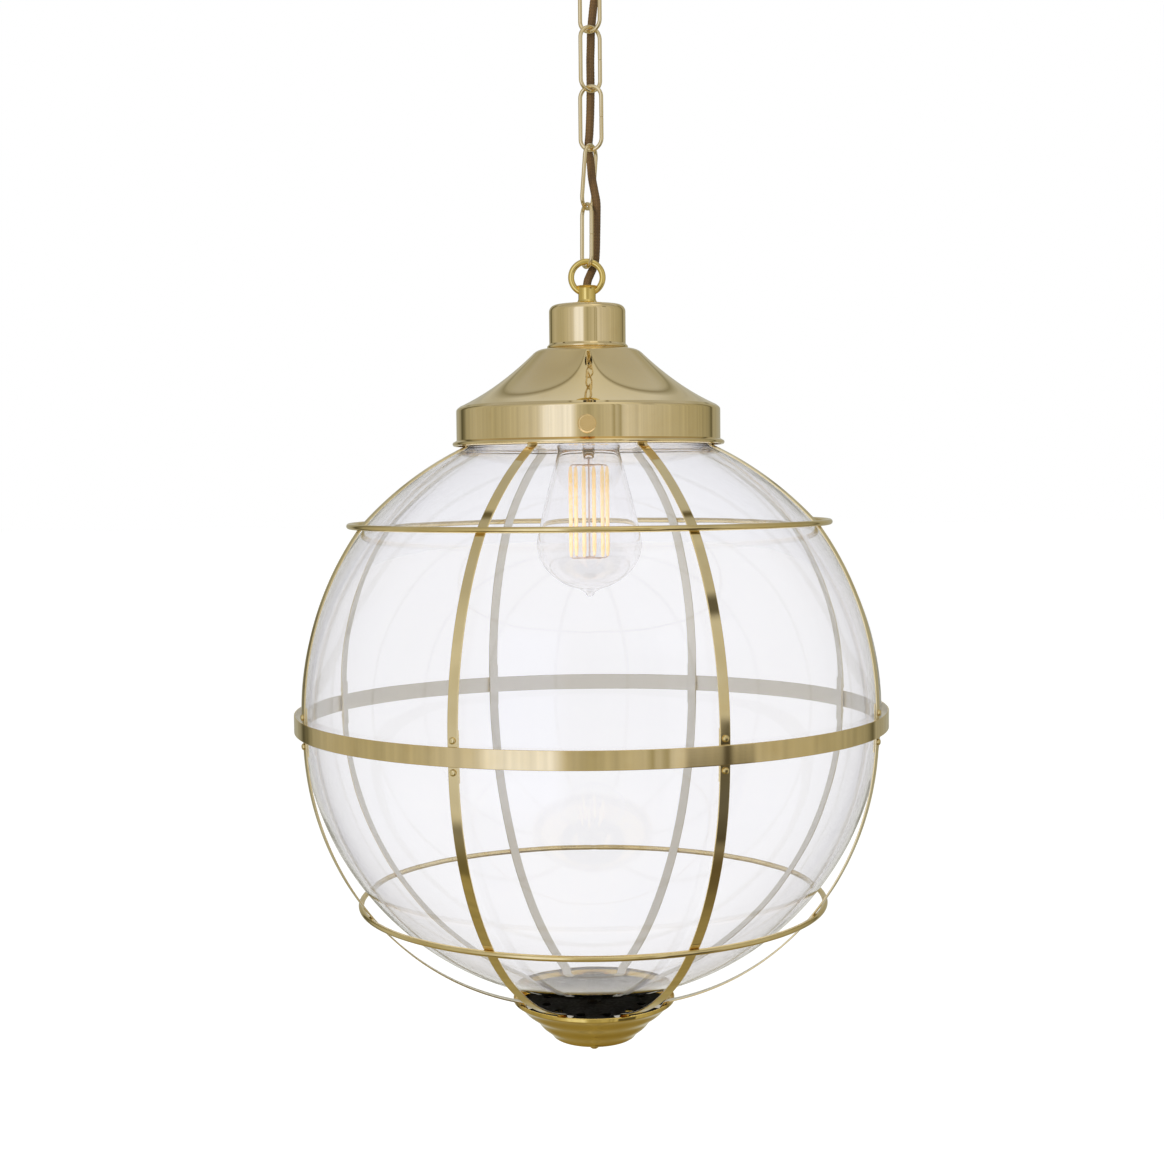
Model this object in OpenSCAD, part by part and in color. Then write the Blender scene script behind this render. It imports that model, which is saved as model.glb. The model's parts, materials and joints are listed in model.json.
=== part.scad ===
// Hanging ship lantern: a clear glass globe in a brass strap cage, under a spun brass
// gallery with three thumb screws, on an oval link chain with a threaded flex.
// Origin: centre of the ceiling face of the ceiling plate. The lantern hangs along -Z,
// with its front towards -Y. Lantern parts are drawn with z = 0 at the middle band.

/* [Suspension] */
// Drop from the ceiling face to the centre of the middle band
hang = 510; // [500:1:540]
// Outer length of one chain link
link_len = 40; // [39:0.5:41]
// Outer width of one chain link
link_w = 16; // [15:0.5:17]
// Wire diameter of the chain
link_wire = 2.4; // [2.2:0.1:2.6]
// Outer diameter of the loops at both ends of the chain
loop_d = 22.7; // [22:0.1:24]
// Wire diameter of the loops
loop_wire = 3.7; // [3.4:0.1:3.8]
// Diameter of the fabric flex
flex_d = 5; // [4.4:0.1:5.2]
// Lean of the lowest link, pushed over by the stiff flex
lean_1 = 0.6; // [0:0.1:3]
// Lean of the second link
lean_2 = 4.5; // [3:0.1:5.5]

/* [Ceiling rose] */
// Diameter of the ceiling cup
rose_d = 100; // [96:1:110]
// Distance between the two ceiling screw holes
plate_pitch = 60; // [56:1:62]
// Diameter of the ceiling screw holes
plate_hole_d = 4.5; // [4:0.1:5]

/* [Gallery] */
// Diameter of the gallery wall that holds the glass neck
gallery_d = 159.6; // [159:0.1:160.2]
// Sheet thickness of the spun brass
sheet = 1; // [0.8:0.1:1.1]
// Height of the thumb screws above the middle band
screw_z = 174.6; // [173.5:0.1:176]
// Diameter of the thumb screw heads
screw_head_d = 10.6; // [9:0.1:12]

/* [Globe] */
// Outer diameter of the glass globe
globe_d = 350; // [348:0.5:350.5]
// Outer diameter of the glass neck
neck_d = 150; // [149.5:0.1:150.2]
// Thickness of the globe glass
glass_t = 2.5; // [2:0.1:3.5]

/* [Cage] */
// Outer radius of the middle band
band_r = 179; // [178.8:0.1:179.6]
// Height of the middle band
band_h = 10.5; // [9:0.1:12]
// Width of one rib strap
rib_w = 6; // [5:0.1:7]
// Thickness of the rib straps and the band
strap_t = 1; // [0.8:0.1:1]
// Wire diameter of the upper and lower rings
ring_wire = 3.4; // [3:0.1:3.6]

/* [Finial] */
// Outer radius of the finial cup at its rim
cup_r = 49.5; // [49:0.1:51]
// Number of vent holes in the hub plate
vents = 12; // [6:1:12]

/* [Hidden] */
$fn = 96;

// Colours shared by several nodes
link_brass = [0.80, 0.72, 0.48];
loop_brass = [0.83, 0.69, 0.30];
fitting_brass = [0.75, 0.66, 0.40];
terminal_brass = [0.82, 0.74, 0.5];
spun_brass = [0.80, 0.71, 0.46];
rib_brass = [0.74, 0.62, 0.30];
fabric = [0.48, 0.37, 0.23];
black = [0.15, 0.15, 0.15];

link_wire_r = link_wire/2;
loop_wire_r = loop_wire/2;
flex_r = flex_d/2;
hook_gap = 0.25;                   // working gap between hooked wires
loop_r = loop_d/2 - loop_wire_r;   // wire centre radius of a loop
bow_r = link_w/2 - link_wire_r;    // wire centre radius of a link's end
link_span = link_len - link_wire;  // between the wire centres of a link's ends
loop_z = 265;                      // centre of the lantern's loop
loop_h = 16.3;                     // loop centre above its collar's foot

// Chain, lowest link first: lean in XZ, and turn of each link about its length
leans = [lean_1, lean_2, 0, 0, 0];
turns = [-65, 62, -22, 32, -30];

// [x, z] of the upper and lower wire centres of link i
function link_top(i) = link_base(i) + link_span*[sin(leans[i]), cos(leans[i])];
function link_base(i) = i == 0
    ? [0, loop_z + loop_r - loop_wire_r - link_wire_r - hook_gap]
    : link_top(i - 1) - [0, link_wire + hook_gap];
chain_top = link_top(4);

// Ceiling loop centre, and the ceiling face to its collar's foot
rose_loop_z = chain_top[1] - link_wire_r - loop_wire_r - hook_gap + loop_r;
rose_foot = hang - rose_loop_z - loop_h;

// Threaded nipples of the rose and the canopy
nipple_r = 5;
nipple_bore = 3.4;
nipple_nut_r = nipple_r + 0.02;    // bore of the parts screwed onto a nipple
nipple_hole = nipple_r + 0.1;      // clearance hole round a nipple

gallery_r = gallery_d/2;
globe_r = globe_d/2;
globe_z = 5.25;
neck_r = neck_d/2;
rim_z = -174;                      // rim of the finial cup
hub_z = -177.6;                    // top face of the hub plate

// ---- helpers ---------------------------------------------------------------
function polar(angle) = [cos(angle), sin(angle)];
function arc(centre, radius, from, to, steps) =
    [for (i = [0:steps]) centre + radius*polar(from + (to - from)*i/steps)];
// angle at which a circle's right half passes height z
function angle_at(z, centre, radius) = asin((z - centre[1])/radius);
function reversed(line) = [for (i = [len(line)-1:-1:0]) line[i]];
function left_of(line, i) =
    let (before = line[max(i-1, 0)], after = line[min(i+1, len(line)-1)],
        along = (after - before)/norm(after - before))
    [-along[1], along[0]];
function inset(line, wall) =
    [for (i = [0:len(line)-1]) let (point = line[i] + wall*left_of(line, i))
        [max(point[0], 0), point[1]]];
// outline of even thickness, with the wall on the left side of the line
function walled(line, wall) = concat(line, reversed(inset(line, wall)));

// shell spun about Z from its outer line
module spun(line, wall) rotate_extrude() polygon(walled(line, wall));

// places everything that belongs to the lantern under the ceiling loop
module lantern() translate([-chain_top[0], 0, -hang]) children();

module tube(outer_r, inner_r, h) difference() {
    cylinder(r = outer_r, h = h);
    translate([0, 0, -1]) cylinder(r = inner_r, h = h + 2);
}

module hex_nut(across_flats, h, bore) difference() {
    cylinder(r = across_flats/2/cos(30), h = h, $fn = 6);
    translate([0, 0, -1]) cylinder(r = bore, h = h + 2);
}

module nipple_nut() hex_nut(14, 4, nipple_nut_r);

// ---- chain and flex --------------------------------------------------------
// upper half of a link's end, in the XZ plane
module bow() rotate_extrude(angle = 180) translate([bow_r, 0]) circle(r = link_wire_r, $fn = 48);

// oval link in the XZ plane, its lower wire centre at the origin
module link() {
    for (side = [-1, 1]) translate([side*bow_r, 0, bow_r])
        cylinder(r = link_wire_r, h = link_span - 2*bow_r);
    translate([0, 0, bow_r]) rotate([90, 0, 0]) rotate([0, 0, 180]) bow();
    translate([0, 0, link_span - bow_r]) rotate([90, 0, 0]) bow();
}

// 3D place of the lower wire centre of link i
function link_place(i) = let (base = link_base(i)) [base[0], 0, base[1]];

module chain_link(i) color(link_brass) lantern()
    translate(link_place(i)) rotate([0, leans[i], 0]) rotate([0, 0, turns[i]]) link();
module chain_link_1() chain_link(0);
module chain_link_2() chain_link(1);
module chain_link_3() chain_link(2);
module chain_link_4() chain_link(3);
module chain_link_5() chain_link(4);

// Lower and upper end of the flex inside each link, from the link's lower wire centre
flex_ends = [
    [[5.6, 1.2, 8], [6.2, 0.5, 31]],
    [[4.6, -1.2, 9], [2.5, 3.6, 28]],
    [[0, 0, 7], [0, 0, 31]],
    [[0, 0, 7], [0, 0, 31]],
    [[0, 0, 7], [0, 0, 31]]];

module cord(from, to) {
    run = to - from;
    length = norm(run);
    translate(from) rotate([0, acos(run[2]/length), atan2(run[1], run[0])])
        cylinder(r = flex_r, h = length, $fn = 48);
}

module link_flex(i) color(fabric) lantern()
    cord(link_place(i) + flex_ends[i][0], link_place(i) + flex_ends[i][1]);
module flex_1() link_flex(0);
module flex_2() link_flex(1);
module flex_3() link_flex(2);
module flex_4() link_flex(3);
module flex_5() link_flex(4);

// ---- loops with collars ----------------------------------------------------
collar_r = 7.2;
collar_h = 11.3;

function collar_line() = concat(
    [[0, 0], [collar_r, 0], [collar_r, 1]],
    arc([8.2, 3.6], 2.9, 245, 180, 6),
    [[5.3, 7.6]],
    arc([7.6, 8.9], 2.3, 190, 120, 4),
    [[6.1, collar_h], [0, collar_h]]);

// hollow collar with its foot on z = 0 and the loop above
module loop_and_collar() difference() {
    union() {
        rotate_extrude() polygon(collar_line());
        translate([0, 0, loop_h]) rotate([90, 0, 0])
            rotate_extrude() translate([loop_r, 0]) circle(r = loop_wire_r, $fn = 48);
    }
    translate([0, 0, -1]) cylinder(r = 3.3, h = 14.5);
    translate([0, 0, -1]) cylinder(r = nipple_r + 0.05, h = 4.7);
}

module loop_collar() color(loop_brass) lantern()
    translate([0, 0, loop_z - loop_h]) loop_and_collar();

module rose_loop() color(loop_brass)
    translate([0, 0, -rose_foot]) rotate([180, 0, 90]) loop_and_collar();

// ---- ceiling rose ----------------------------------------------------------
plate_t = 2.5;
plate_w = 20;
plate_end_x = 31;                  // centres of the plate's round ends
terminal_pitch = 10;
terminal_z = -9;                   // axis of the terminal screws

function rose_line() = concat(
    [[nipple_hole, -rose_foot], [16, -rose_foot]],
    arc([16, -rose_foot + 9], 9, 270, 318, 6),
    [for (i = [1:10]) let (t = i/10)
        [22.7 + (rose_d/2 - 24.2)*t, -rose_foot + 3 + (rose_foot - 6)*pow(t, 1.6)]],
    arc([rose_d/2 - 1.5, -1.6], 1.5, -80, 80, 6));

module rose_cup() color([0.78, 0.70, 0.46]) spun(rose_line(), sheet);

module ceiling_plate() color([0.72, 0.72, 0.70]) difference() {
    translate([0, 0, -plate_t]) linear_extrude(plate_t) union() {
        translate([-plate_end_x, -plate_w/2]) square([2*plate_end_x, plate_w]);
        for (side = [-1, 1]) translate([side*plate_end_x, 0]) circle(r = plate_w/2);
        circle(r = 16);
    }
    for (side = [-1, 1]) translate([side*plate_pitch/2, 0, -plate_t - 1])
        cylinder(r = plate_hole_d/2, h = 5);
    translate([0, 0, -plate_t - 1]) cylinder(r = nipple_nut_r, h = 5);
}

module rose_nipple() color(fitting_brass)
    translate([0, 0, -rose_foot - 3.5]) tube(nipple_r, nipple_bore, rose_foot + 3);

module rose_nut() color(fitting_brass) translate([0, 0, -6.6]) nipple_nut();

// three-way block behind the nipple, with wire holes along Z and screw holes along Y
module terminal_block() color([0.93, 0.92, 0.88]) difference() {
    translate([0, 12, -15.7]) linear_extrude(13) union() {
        translate([-15, 0]) square([30, 11]);
        for (i = [-1:1]) translate([i*terminal_pitch, 11]) circle(r = 4);
    }
    for (i = [-1:1]) {
        translate([i*terminal_pitch, 20, -16.7]) cylinder(r = 2, h = 12);
        translate([i*terminal_pitch, 20, terminal_z]) rotate([-90, 0, 0])
            cylinder(r = 1.75, h = 20);
    }
}

module terminal_screws() color(terminal_brass) for (i = [-1:1])
    translate([i*terminal_pitch, 22.6, terminal_z]) rotate([-90, 0, 0]) difference() {
        cylinder(r = 1.6, h = 4);
        translate([-0.3, -2, 3.2]) cube([0.6, 4, 1]);
    }

module flex_rose() color(fabric)
    translate([0, 0, -rose_foot - 15.3]) cylinder(r = flex_r, h = rose_foot + 14.3, $fn = 48);

// ---- cap, canopy and gallery -----------------------------------------------
screw_angles = [0, 120, 240];
head_r = screw_head_d/2;
tip_r = neck_r + 0.12;             // screw tip, just clear of the glass neck
head_in = gallery_r + 4.4;         // inner and outer faces of the screw head
head_out = gallery_r + 7.1;

// turns Z to point to the front at screw height, from a distance off the axis
module screw_axis(start) translate([0, -start, screw_z]) rotate([90, 0, 0]) children();

module cap() color(spun_brass) lantern() spun(concat(
    arc([23.25, 223.2], 1.2, -90, 60, 6),
    [[23.1, 225.2], [23.1, 244.1]],
    arc([18.9, 244.3], 4.2, 0, 84, 8),
    [[nipple_hole, 248.6]]), 1);

// rolled lower edge, gallery wall, sagging cone, then the crown at the nipple
function canopy_line() = concat(
    arc([gallery_r + 1.1, 165.3], 1.35, -120, 50, 8),
    [[gallery_r, 167.4], [gallery_r, 184.6]],
    arc([gallery_r - 2.4, 184.8], 2.4, 0, 50, 5),
    [for (i = [0:14]) let (t = 0.985 - 0.985*i/14) [33 + 45*t, 219.26 - 43.15*t + 11.45*t*t]],
    arc([26.5, 212.5], 9.4, 48, 90, 6),
    [[nipple_hole, 221.9]]);

module canopy() color(spun_brass) lantern() difference() {
    spun(canopy_line(), sheet);
    for (a = screw_angles) rotate([0, 0, a])
        screw_axis(gallery_r - 4) cylinder(r = 2.2, h = 8);
}

module stem_nipple() color(fitting_brass) lantern()
    translate([0, 0, 216.6]) tube(nipple_r, nipple_bore, 35.6);

module lock_nut() color(fitting_brass) lantern() translate([0, 0, 222]) nipple_nut();

module canopy_washer() color(fitting_brass) lantern()
    translate([0, 0, 219.8]) tube(10, nipple_hole, 1);

// threaded bushes outside the gallery wall
module gallery_bushes() color([0.80, 0.68, 0.40]) lantern()
    for (a = screw_angles) rotate([0, 0, a]) difference() {
        screw_axis(gallery_r + 0.02) cylinder(r = 3.4, h = 2.1);
        screw_axis(gallery_r - 4) cylinder(r = 2.05, h = 10);
    }

// [radius of the screw, distance from the lantern's axis]
function thumb_screw_line() = concat(
    [[0, tip_r], [1.2, tip_r], [2, neck_r + 1], [2, gallery_r + 3.2],
     [3.1, gallery_r + 3.2], [3.1, head_in],
     [head_r - 0.5, head_in], [head_r, head_in + 0.5], [head_r, head_out - 0.8]],
    arc([head_r - 0.8, head_out - 0.8], 0.8, 0, 90, 4),
    [[0, head_out]]);

module thumb_screw(angle) color([0.79, 0.63, 0.37]) lantern()
    rotate([0, 0, angle]) screw_axis(0) rotate_extrude() polygon(thumb_screw_line());
module thumb_screw_1() thumb_screw(screw_angles[0]);
module thumb_screw_2() thumb_screw(screw_angles[1]);
module thumb_screw_3() thumb_screw(screw_angles[2]);

// ---- lampholder ------------------------------------------------------------
holder_wall = 1.2;

// wavy thread line, four points to a turn of the profile
function thread_line(radius, depth, z, steps) =
    [for (i = [0:steps]) [radius + depth*cos(i*90), z + i*0.47]];

module holder_cap() color(black) lantern() union() {
    spun(concat([[20.2, 200], [20.2, 214]], arc([14.6, 214.1], 5.6, 0, 90, 6),
        [[nipple_nut_r, 219.7]]), holder_wall);
    translate([0, 0, 216.2]) tube(6.7, nipple_nut_r, 2.8);
}

module holder_skirt() color(black) lantern() spun(
    [[17.6, 178], [18.8, 178], [19.4, 180], [19.4, 196], [18.9, 197], [18.9, 204]],
    holder_wall);

module holder_insert() color([0.94, 0.93, 0.90]) lantern() difference() {
    translate([0, 0, 206.5]) cylinder(r = 17.4, h = 9.4);
    translate([0, 0, 206]) cylinder(r = 13.4, h = 6.9);
    for (side = [-1, 1]) translate([side*10, 0, 212]) cylinder(r = 1.3, h = 5);
}

module thread_shell() color(terminal_brass) lantern() rotate_extrude() polygon(concat(
    thread_line(13.55, 0.18, 187, 40), reversed(thread_line(14.2, 0.18, 187, 40))));

// disc with a drilled tongue towards +X
module centre_contact() color([0.85, 0.76, 0.5]) lantern()
    translate([0, 0, 212.32]) difference() {
        union() {
            cylinder(r = 4, h = 0.5);
            translate([0, -2, 0]) cube([11.5, 4, 0.5]);
        }
        translate([10, 0, -1]) cylinder(r = 1, h = 3);
    }

module holder_terminals() color(terminal_brass) lantern()
    for (side = [-1, 1]) translate([side*10.4, 0, 0]) difference() {
        translate([-2.9, -3, 215.95]) cube([5.8, 6, 2.3]);
        translate([0, -4, 217.1]) rotate([-90, 0, 0]) cylinder(r = 0.6, h = 8, $fn = 24);
    }

module flex_lamp() color(fabric) lantern()
    translate([0, 0, 219]) cylinder(r = flex_r, h = 45.5, $fn = 48);

// ---- lamp ------------------------------------------------------------------
bulb_r = 32;
bulb_z = 104.8;                    // height of the bulb's widest point
filament_angles = [15:60:315];
upper_star_z = 151.4;
lower_star_z = 95.2;

module lamp_cap() color([0.85, 0.80, 0.62]) lantern() rotate_extrude() polygon(concat(
    thread_line(13.05, 0.2, 188.2, 36),
    [[11.6, 206.2], [10.8, 206.2], [12.3, 204.9]],
    reversed(thread_line(12.5, 0.2, 188.2, 36))));

module lamp_insulator() color([0.08, 0.08, 0.10]) lantern() rotate_extrude()
    polygon([[0, 206.3], [10.7, 206.3], [9.4, 208.4], [6.4, 210.7], [0, 210.7]]);

module lamp_contact() color([0.75, 0.74, 0.72]) lantern() rotate_extrude() polygon(concat(
    [[0, 210.75], [4.6, 210.75]], arc([3.4, 210.95], 1.2, 0, 90, 4), [[0, 212.2]]));

// bottom tip, round lower end, long taper, then the neck inside the cap
function lamp_line() = concat(
    [[0, 72.2], [1.6, 72.6]],
    arc([6.2, 71.6], 4.4, 160, 118, 3),
    [for (i = [0:12]) let (a = 14 + 76*i/12)
        [bulb_r*pow(sin(a), 1.06), bulb_z - 28.6*cos(a)]],
    [for (i = [1:16]) let (t = i/16)
        [bulb_r - 18.7*pow(t, 1.3) - 1.2*sin(180*t)*(1 - t), bulb_z + 73*t]],
    [[13.2, 182], [13.2, 187.9]]);

module lamp_glass() color([0.9, 0.92, 0.95, 0.35]) lantern() spun(lamp_line(), 0.8);

module lamp_stem() color([0.9, 0.92, 0.95, 0.5]) lantern() rotate_extrude() polygon(concat(
    [[0, 156], [3, 156], [4, 162], [4, 172]],
    arc([9, 176], 5, 200, 110, 5),
    [[11.4, 184], [11.4, 187], [0, 187]]));

module filaments() color([0.97, 0.78, 0.47]) lantern() for (a = filament_angles)
    rotate([0, 0, a]) translate([11.5, 0, 96.7]) cylinder(r = 1, h = 54.6, $fn = 24);

// six-armed support
module star(z, h) translate([0, 0, z]) union() {
    cylinder(r = 3.2, h = h);
    for (a = filament_angles) rotate([0, 0, a]) translate([0, -0.6, 0]) cube([12.1, 1.2, h]);
}

module filament_supports() color([0.70, 0.66, 0.60]) lantern() union() {
    star(upper_star_z, 1.2);
    star(lower_star_z, 1.4);
    translate([0, 0, lower_star_z]) cylinder(r = 0.8, h = 60.7, $fn = 24);
}

// ---- globe and cage --------------------------------------------------------
rib_r = band_r - strap_t;          // outer face of the ribs at the band
low_centre = [0, -1.8];            // centre of the lower ribs' curve, radius rib_r
belly_centre = [rib_r - 178, 10];  // upper ribs, from the band to the upper ring
belly_r = norm([178, 10]);
shoulder_centre = [-6.7, -22.4];   // upper ribs, above the upper ring
shoulder_r = 204.3;
tab_t = 0.8;
tab_gap = 0.05;                    // between the ribs and the tabs
tab_low_r = rib_r - strap_t - tab_gap;
tab_belly_r = belly_r - strap_t - tab_gap;
ring_r = ring_wire/2;
ring_gap = 0.04;                   // between the ribs and the rings
rivet_gap = 0.03;

// Rib azimuths, 0 = front; the front and the back pair stand a little wider
rib_angles = [for (i = [0:7]) 22.5 + 45*i + (i % 4 == 0 ? 0.9 : i % 4 == 3 ? -0.9 : 0)];

// bent strap centred on the meridian at an azimuth, from its outer line
module strap(line, thickness, azimuth)
    rotate([0, 0, azimuth - 90]) rotate([90, 0, 0]) translate([0, 0, -rib_w/2])
        linear_extrude(rib_w) polygon(walled(line, thickness));

module glass_globe() color([0.9, 0.92, 0.97, 0.35]) lantern() spun(concat(
    arc([0, globe_z], globe_r, -90, 64.6, 60),
    [[neck_r, 165.5], [neck_r, 180.2]],
    arc([neck_r + 0.2, 182], 1.6, -80, 80, 5)), glass_t);

// hoop at the top of the ribs, pierced for the thumb screws
module cage_hoop() color([0.79, 0.68, 0.40]) lantern() difference() {
    translate([0, 0, 165.6]) tube(78.5, 77.5, 16);
    for (a = screw_angles) rotate([0, 0, a]) screw_axis(70) cylinder(r = 2.4, h = 12);
}

function upper_rib_line() = reversed(concat(
    [[77.4, 171], [77.4, 164.9], [77.75, 164]],
    arc(shoulder_centre, shoulder_r, acos((79 - shoulder_centre[0])/shoulder_r),
        angle_at(117.5, shoulder_centre, shoulder_r), 14),
    arc(belly_centre, belly_r, angle_at(117.2, belly_centre, belly_r),
        angle_at(0.6, belly_centre, belly_r), 24)));

function lower_rib_line() = concat(
    [[37, hub_z + 0.03], [44.6, hub_z + 0.03]],
    arc(low_centre, rib_r, -acos(47.6/rib_r), angle_at(-0.6, low_centre, rib_r), 34));

function tab_line() = concat(
    arc(low_centre, tab_low_r, angle_at(-14, low_centre, tab_low_r),
        angle_at(-0.8, low_centre, tab_low_r), 5),
    reversed(arc(belly_centre, tab_belly_r, angle_at(14, belly_centre, tab_belly_r),
        angle_at(0.8, belly_centre, tab_belly_r), 5)));

module upper_ribs() color(rib_brass) lantern()
    for (a = rib_angles) strap(upper_rib_line(), strap_t, a);

module lower_ribs() color([0.70, 0.58, 0.24]) lantern()
    for (a = rib_angles) strap(lower_rib_line(), strap_t, a);

// short splice plates inside the ribs, where the two cage halves meet
module joining_tabs() color(rib_brass) lantern()
    for (a = rib_angles) strap(tab_line(), tab_t, a);

module middle_band() color([0.77, 0.67, 0.38]) lantern()
    translate([0, 0, -band_h/2]) tube(band_r + 0.45, band_r - strap_t + 0.45, band_h);

// wire ring resting outside a rib curve, towards the curve's point at height z
module cage_ring(z, centre, radius, angle_r) rotate_extrude()
    translate(centre + (radius + ring_r + ring_gap)*polar(angle_at(z, centre, angle_r)))
        circle(r = ring_r, $fn = 48);

module upper_ring() color([0.74, 0.64, 0.34]) lantern()
    cage_ring(115.9, belly_centre, belly_r, belly_r);

module lower_ring() color([0.70, 0.58, 0.26]) lantern()
    cage_ring(-112.8, low_centre, rib_r, rib_r + ring_r + ring_gap);

module rivet() rotate_extrude() polygon(concat(
    [[0, 0], [1.9, 0], [1.9, 0.3]], arc([0.7, 0.3], 1.2, 12, 90, 4), [[0, 1.5]]));

// rivet head square to the outside of a rib curve at height z
module rivet_on(z, centre, radius)
    translate([centre[0] + sqrt(radius*radius - pow(z - centre[1], 2)), 0, z])
        rotate([0, 90 - angle_at(z, centre, radius), 0])
            translate([0, 0, rivet_gap]) rivet();

// one head just above and one just below the band on every rib
module cage_rivets() color([0.80, 0.70, 0.42]) lantern()
    for (a = rib_angles) rotate([0, 0, a - 90]) {
        rivet_on(8.6, belly_centre, belly_r);
        rivet_on(-8.2, low_centre, rib_r);
    }

// ---- hub and finial --------------------------------------------------------
cup_floor = -201.2;                // underside of the cup
spacer_z = cup_floor + 1.45;
stud_r = 2.5;
stud_nut_r = stud_r + 0.02;        // bore of the nuts on the stud
stud_hole = stud_r + 0.1;
vent_r = 2.75;
vent_circle_r = 30;

module hub_plate() color([0.20, 0.18, 0.15]) lantern() difference() {
    union() {
        translate([0, 0, hub_z - 1]) cylinder(r = 43, h = 1);
        translate([0, 0, hub_z - 2]) tube(43, 42, 1.5);
    }
    for (i = [0:vents-1]) rotate([0, 0, 15 + i*360/vents])
        translate([0, vent_circle_r, hub_z - 2]) cylinder(r = vent_r, h = 4);
    translate([0, 0, hub_z - 2]) cylinder(r = stud_hole, h = 4);
}

// flat floor, rounded corner, rippled flare, then the rim
function cup_line() = concat(
    [[7, cup_floor], [10, cup_floor + 0.05]],
    [for (i = [1:8]) let (a = 76 - 9.5*i) [24.8*cos(a), -198.5 - 2.7*sin(a)]],
    [for (i = [1:28]) let (t = i/28)
        [25.3 + 23.5*t - 0.8*sin(180*t) - 0.45*sin(900*t), -198.5 + 21.6*t]],
    [[cup_r, -176.2], [cup_r + 0.1, rim_z - 0.8]],
    arc([cup_r - 0.6, rim_z - 0.7], 0.7, 0, 90, 4));

module finial_cup() color([0.68, 0.56, 0.20]) lantern() difference() {
    union() {
        spun(cup_line(), 1);
        translate([0, 0, cup_floor]) cylinder(r = 9, h = 1.4);
    }
    translate([0, 0, cup_floor - 2]) cylinder(r = stud_hole, h = 6);
}

module finial_stud() color(fitting_brass) lantern()
    translate([0, 0, -205.4]) cylinder(r = stud_r, h = 32.5);

module finial_spacer() color(fitting_brass) lantern()
    translate([0, 0, spacer_z]) tube(4.5, stud_hole, hub_z - 1.05 - spacer_z);

module hub_nut() color(fitting_brass) lantern()
    translate([0, 0, hub_z + 0.05]) hex_nut(8, 3.6, stud_nut_r);

module finial_nut() color([0.70, 0.58, 0.22]) lantern() difference() {
    rotate_extrude() polygon(concat(
        [[0, -208]],
        arc([0, -204.4], 3.6, -80, -5, 7),
        [[4.3, -203.4], [5.4, cup_floor - 1], [5.4, cup_floor - 0.05], [0, cup_floor - 0.05]]));
    translate([0, 0, -205.6]) cylinder(r = stud_nut_r, h = 6);
}

ceiling_plate();
rose_cup();
rose_nipple();
rose_nut();
rose_loop();
terminal_block();
terminal_screws();
flex_rose();
chain_link_1();
chain_link_2();
chain_link_3();
chain_link_4();
chain_link_5();
flex_1();
flex_2();
flex_3();
flex_4();
flex_5();
loop_collar();
cap();
canopy();
stem_nipple();
lock_nut();
canopy_washer();
gallery_bushes();
holder_cap();
holder_skirt();
holder_insert();
thread_shell();
centre_contact();
holder_terminals();
flex_lamp();
thumb_screw_1();
thumb_screw_2();
thumb_screw_3();
glass_globe();
cage_hoop();
upper_ribs();
lower_ribs();
joining_tabs();
middle_band();
upper_ring();
lower_ring();
cage_rivets();
hub_plate();
finial_cup();
finial_stud();
finial_spacer();
hub_nut();
finial_nut();
lamp_cap();
lamp_insulator();
lamp_contact();
lamp_glass();
lamp_stem();
filaments();
filament_supports();
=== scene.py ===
"""Looks for a hanging ship lantern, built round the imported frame.

+Z is up, the front is -Y, and the ceiling rose is at the origin. Lengths are millimetres until
make() turns them into metres. The lantern's pieces are placed from CENTRE, the centre of the
cage's middle band; the rose and its loop are placed from ORIGIN.
"""

import json
import math

import bmesh
import bpy
import numpy as np
from mathutils import Matrix, Vector

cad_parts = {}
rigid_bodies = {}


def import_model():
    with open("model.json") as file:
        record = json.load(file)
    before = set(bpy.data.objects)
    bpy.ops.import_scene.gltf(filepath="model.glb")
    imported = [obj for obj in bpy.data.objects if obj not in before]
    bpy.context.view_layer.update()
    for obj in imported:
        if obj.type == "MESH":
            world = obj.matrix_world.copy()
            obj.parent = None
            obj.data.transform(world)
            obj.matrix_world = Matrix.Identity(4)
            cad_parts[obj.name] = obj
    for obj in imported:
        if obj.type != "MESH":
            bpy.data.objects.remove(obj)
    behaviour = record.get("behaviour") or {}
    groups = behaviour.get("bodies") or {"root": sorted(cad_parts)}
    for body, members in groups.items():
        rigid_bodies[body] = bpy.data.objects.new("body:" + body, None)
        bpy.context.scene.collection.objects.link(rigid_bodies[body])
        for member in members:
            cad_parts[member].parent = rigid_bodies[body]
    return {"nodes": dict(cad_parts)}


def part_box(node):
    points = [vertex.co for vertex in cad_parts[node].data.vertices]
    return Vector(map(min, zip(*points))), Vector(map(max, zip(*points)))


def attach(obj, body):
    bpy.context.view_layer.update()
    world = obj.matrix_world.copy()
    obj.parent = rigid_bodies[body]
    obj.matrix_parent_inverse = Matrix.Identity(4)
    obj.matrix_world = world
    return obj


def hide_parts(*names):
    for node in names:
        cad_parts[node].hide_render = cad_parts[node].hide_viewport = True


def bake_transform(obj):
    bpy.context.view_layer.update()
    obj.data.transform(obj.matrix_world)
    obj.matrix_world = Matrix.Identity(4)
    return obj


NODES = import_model()["nodes"]
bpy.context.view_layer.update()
PI = math.pi


def half_width(node):
    lo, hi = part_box(node)
    return (hi.x - lo.x) * 500.0


def half_height(node):
    lo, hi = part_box(node)
    return (hi.z - lo.z) * 500.0


def centre_of(node):
    lo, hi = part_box(node)
    return np.array([(a + b) * 500.0 for a, b in zip(lo, hi)])


# ---- driving sizes and places ---------------------------------------------------
ORIGIN = np.zeros(3)
CENTRE = centre_of("middle_band")
HANGER_X = -CENTRE[0]  # the ceiling hanger, from the lantern's axis

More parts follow.
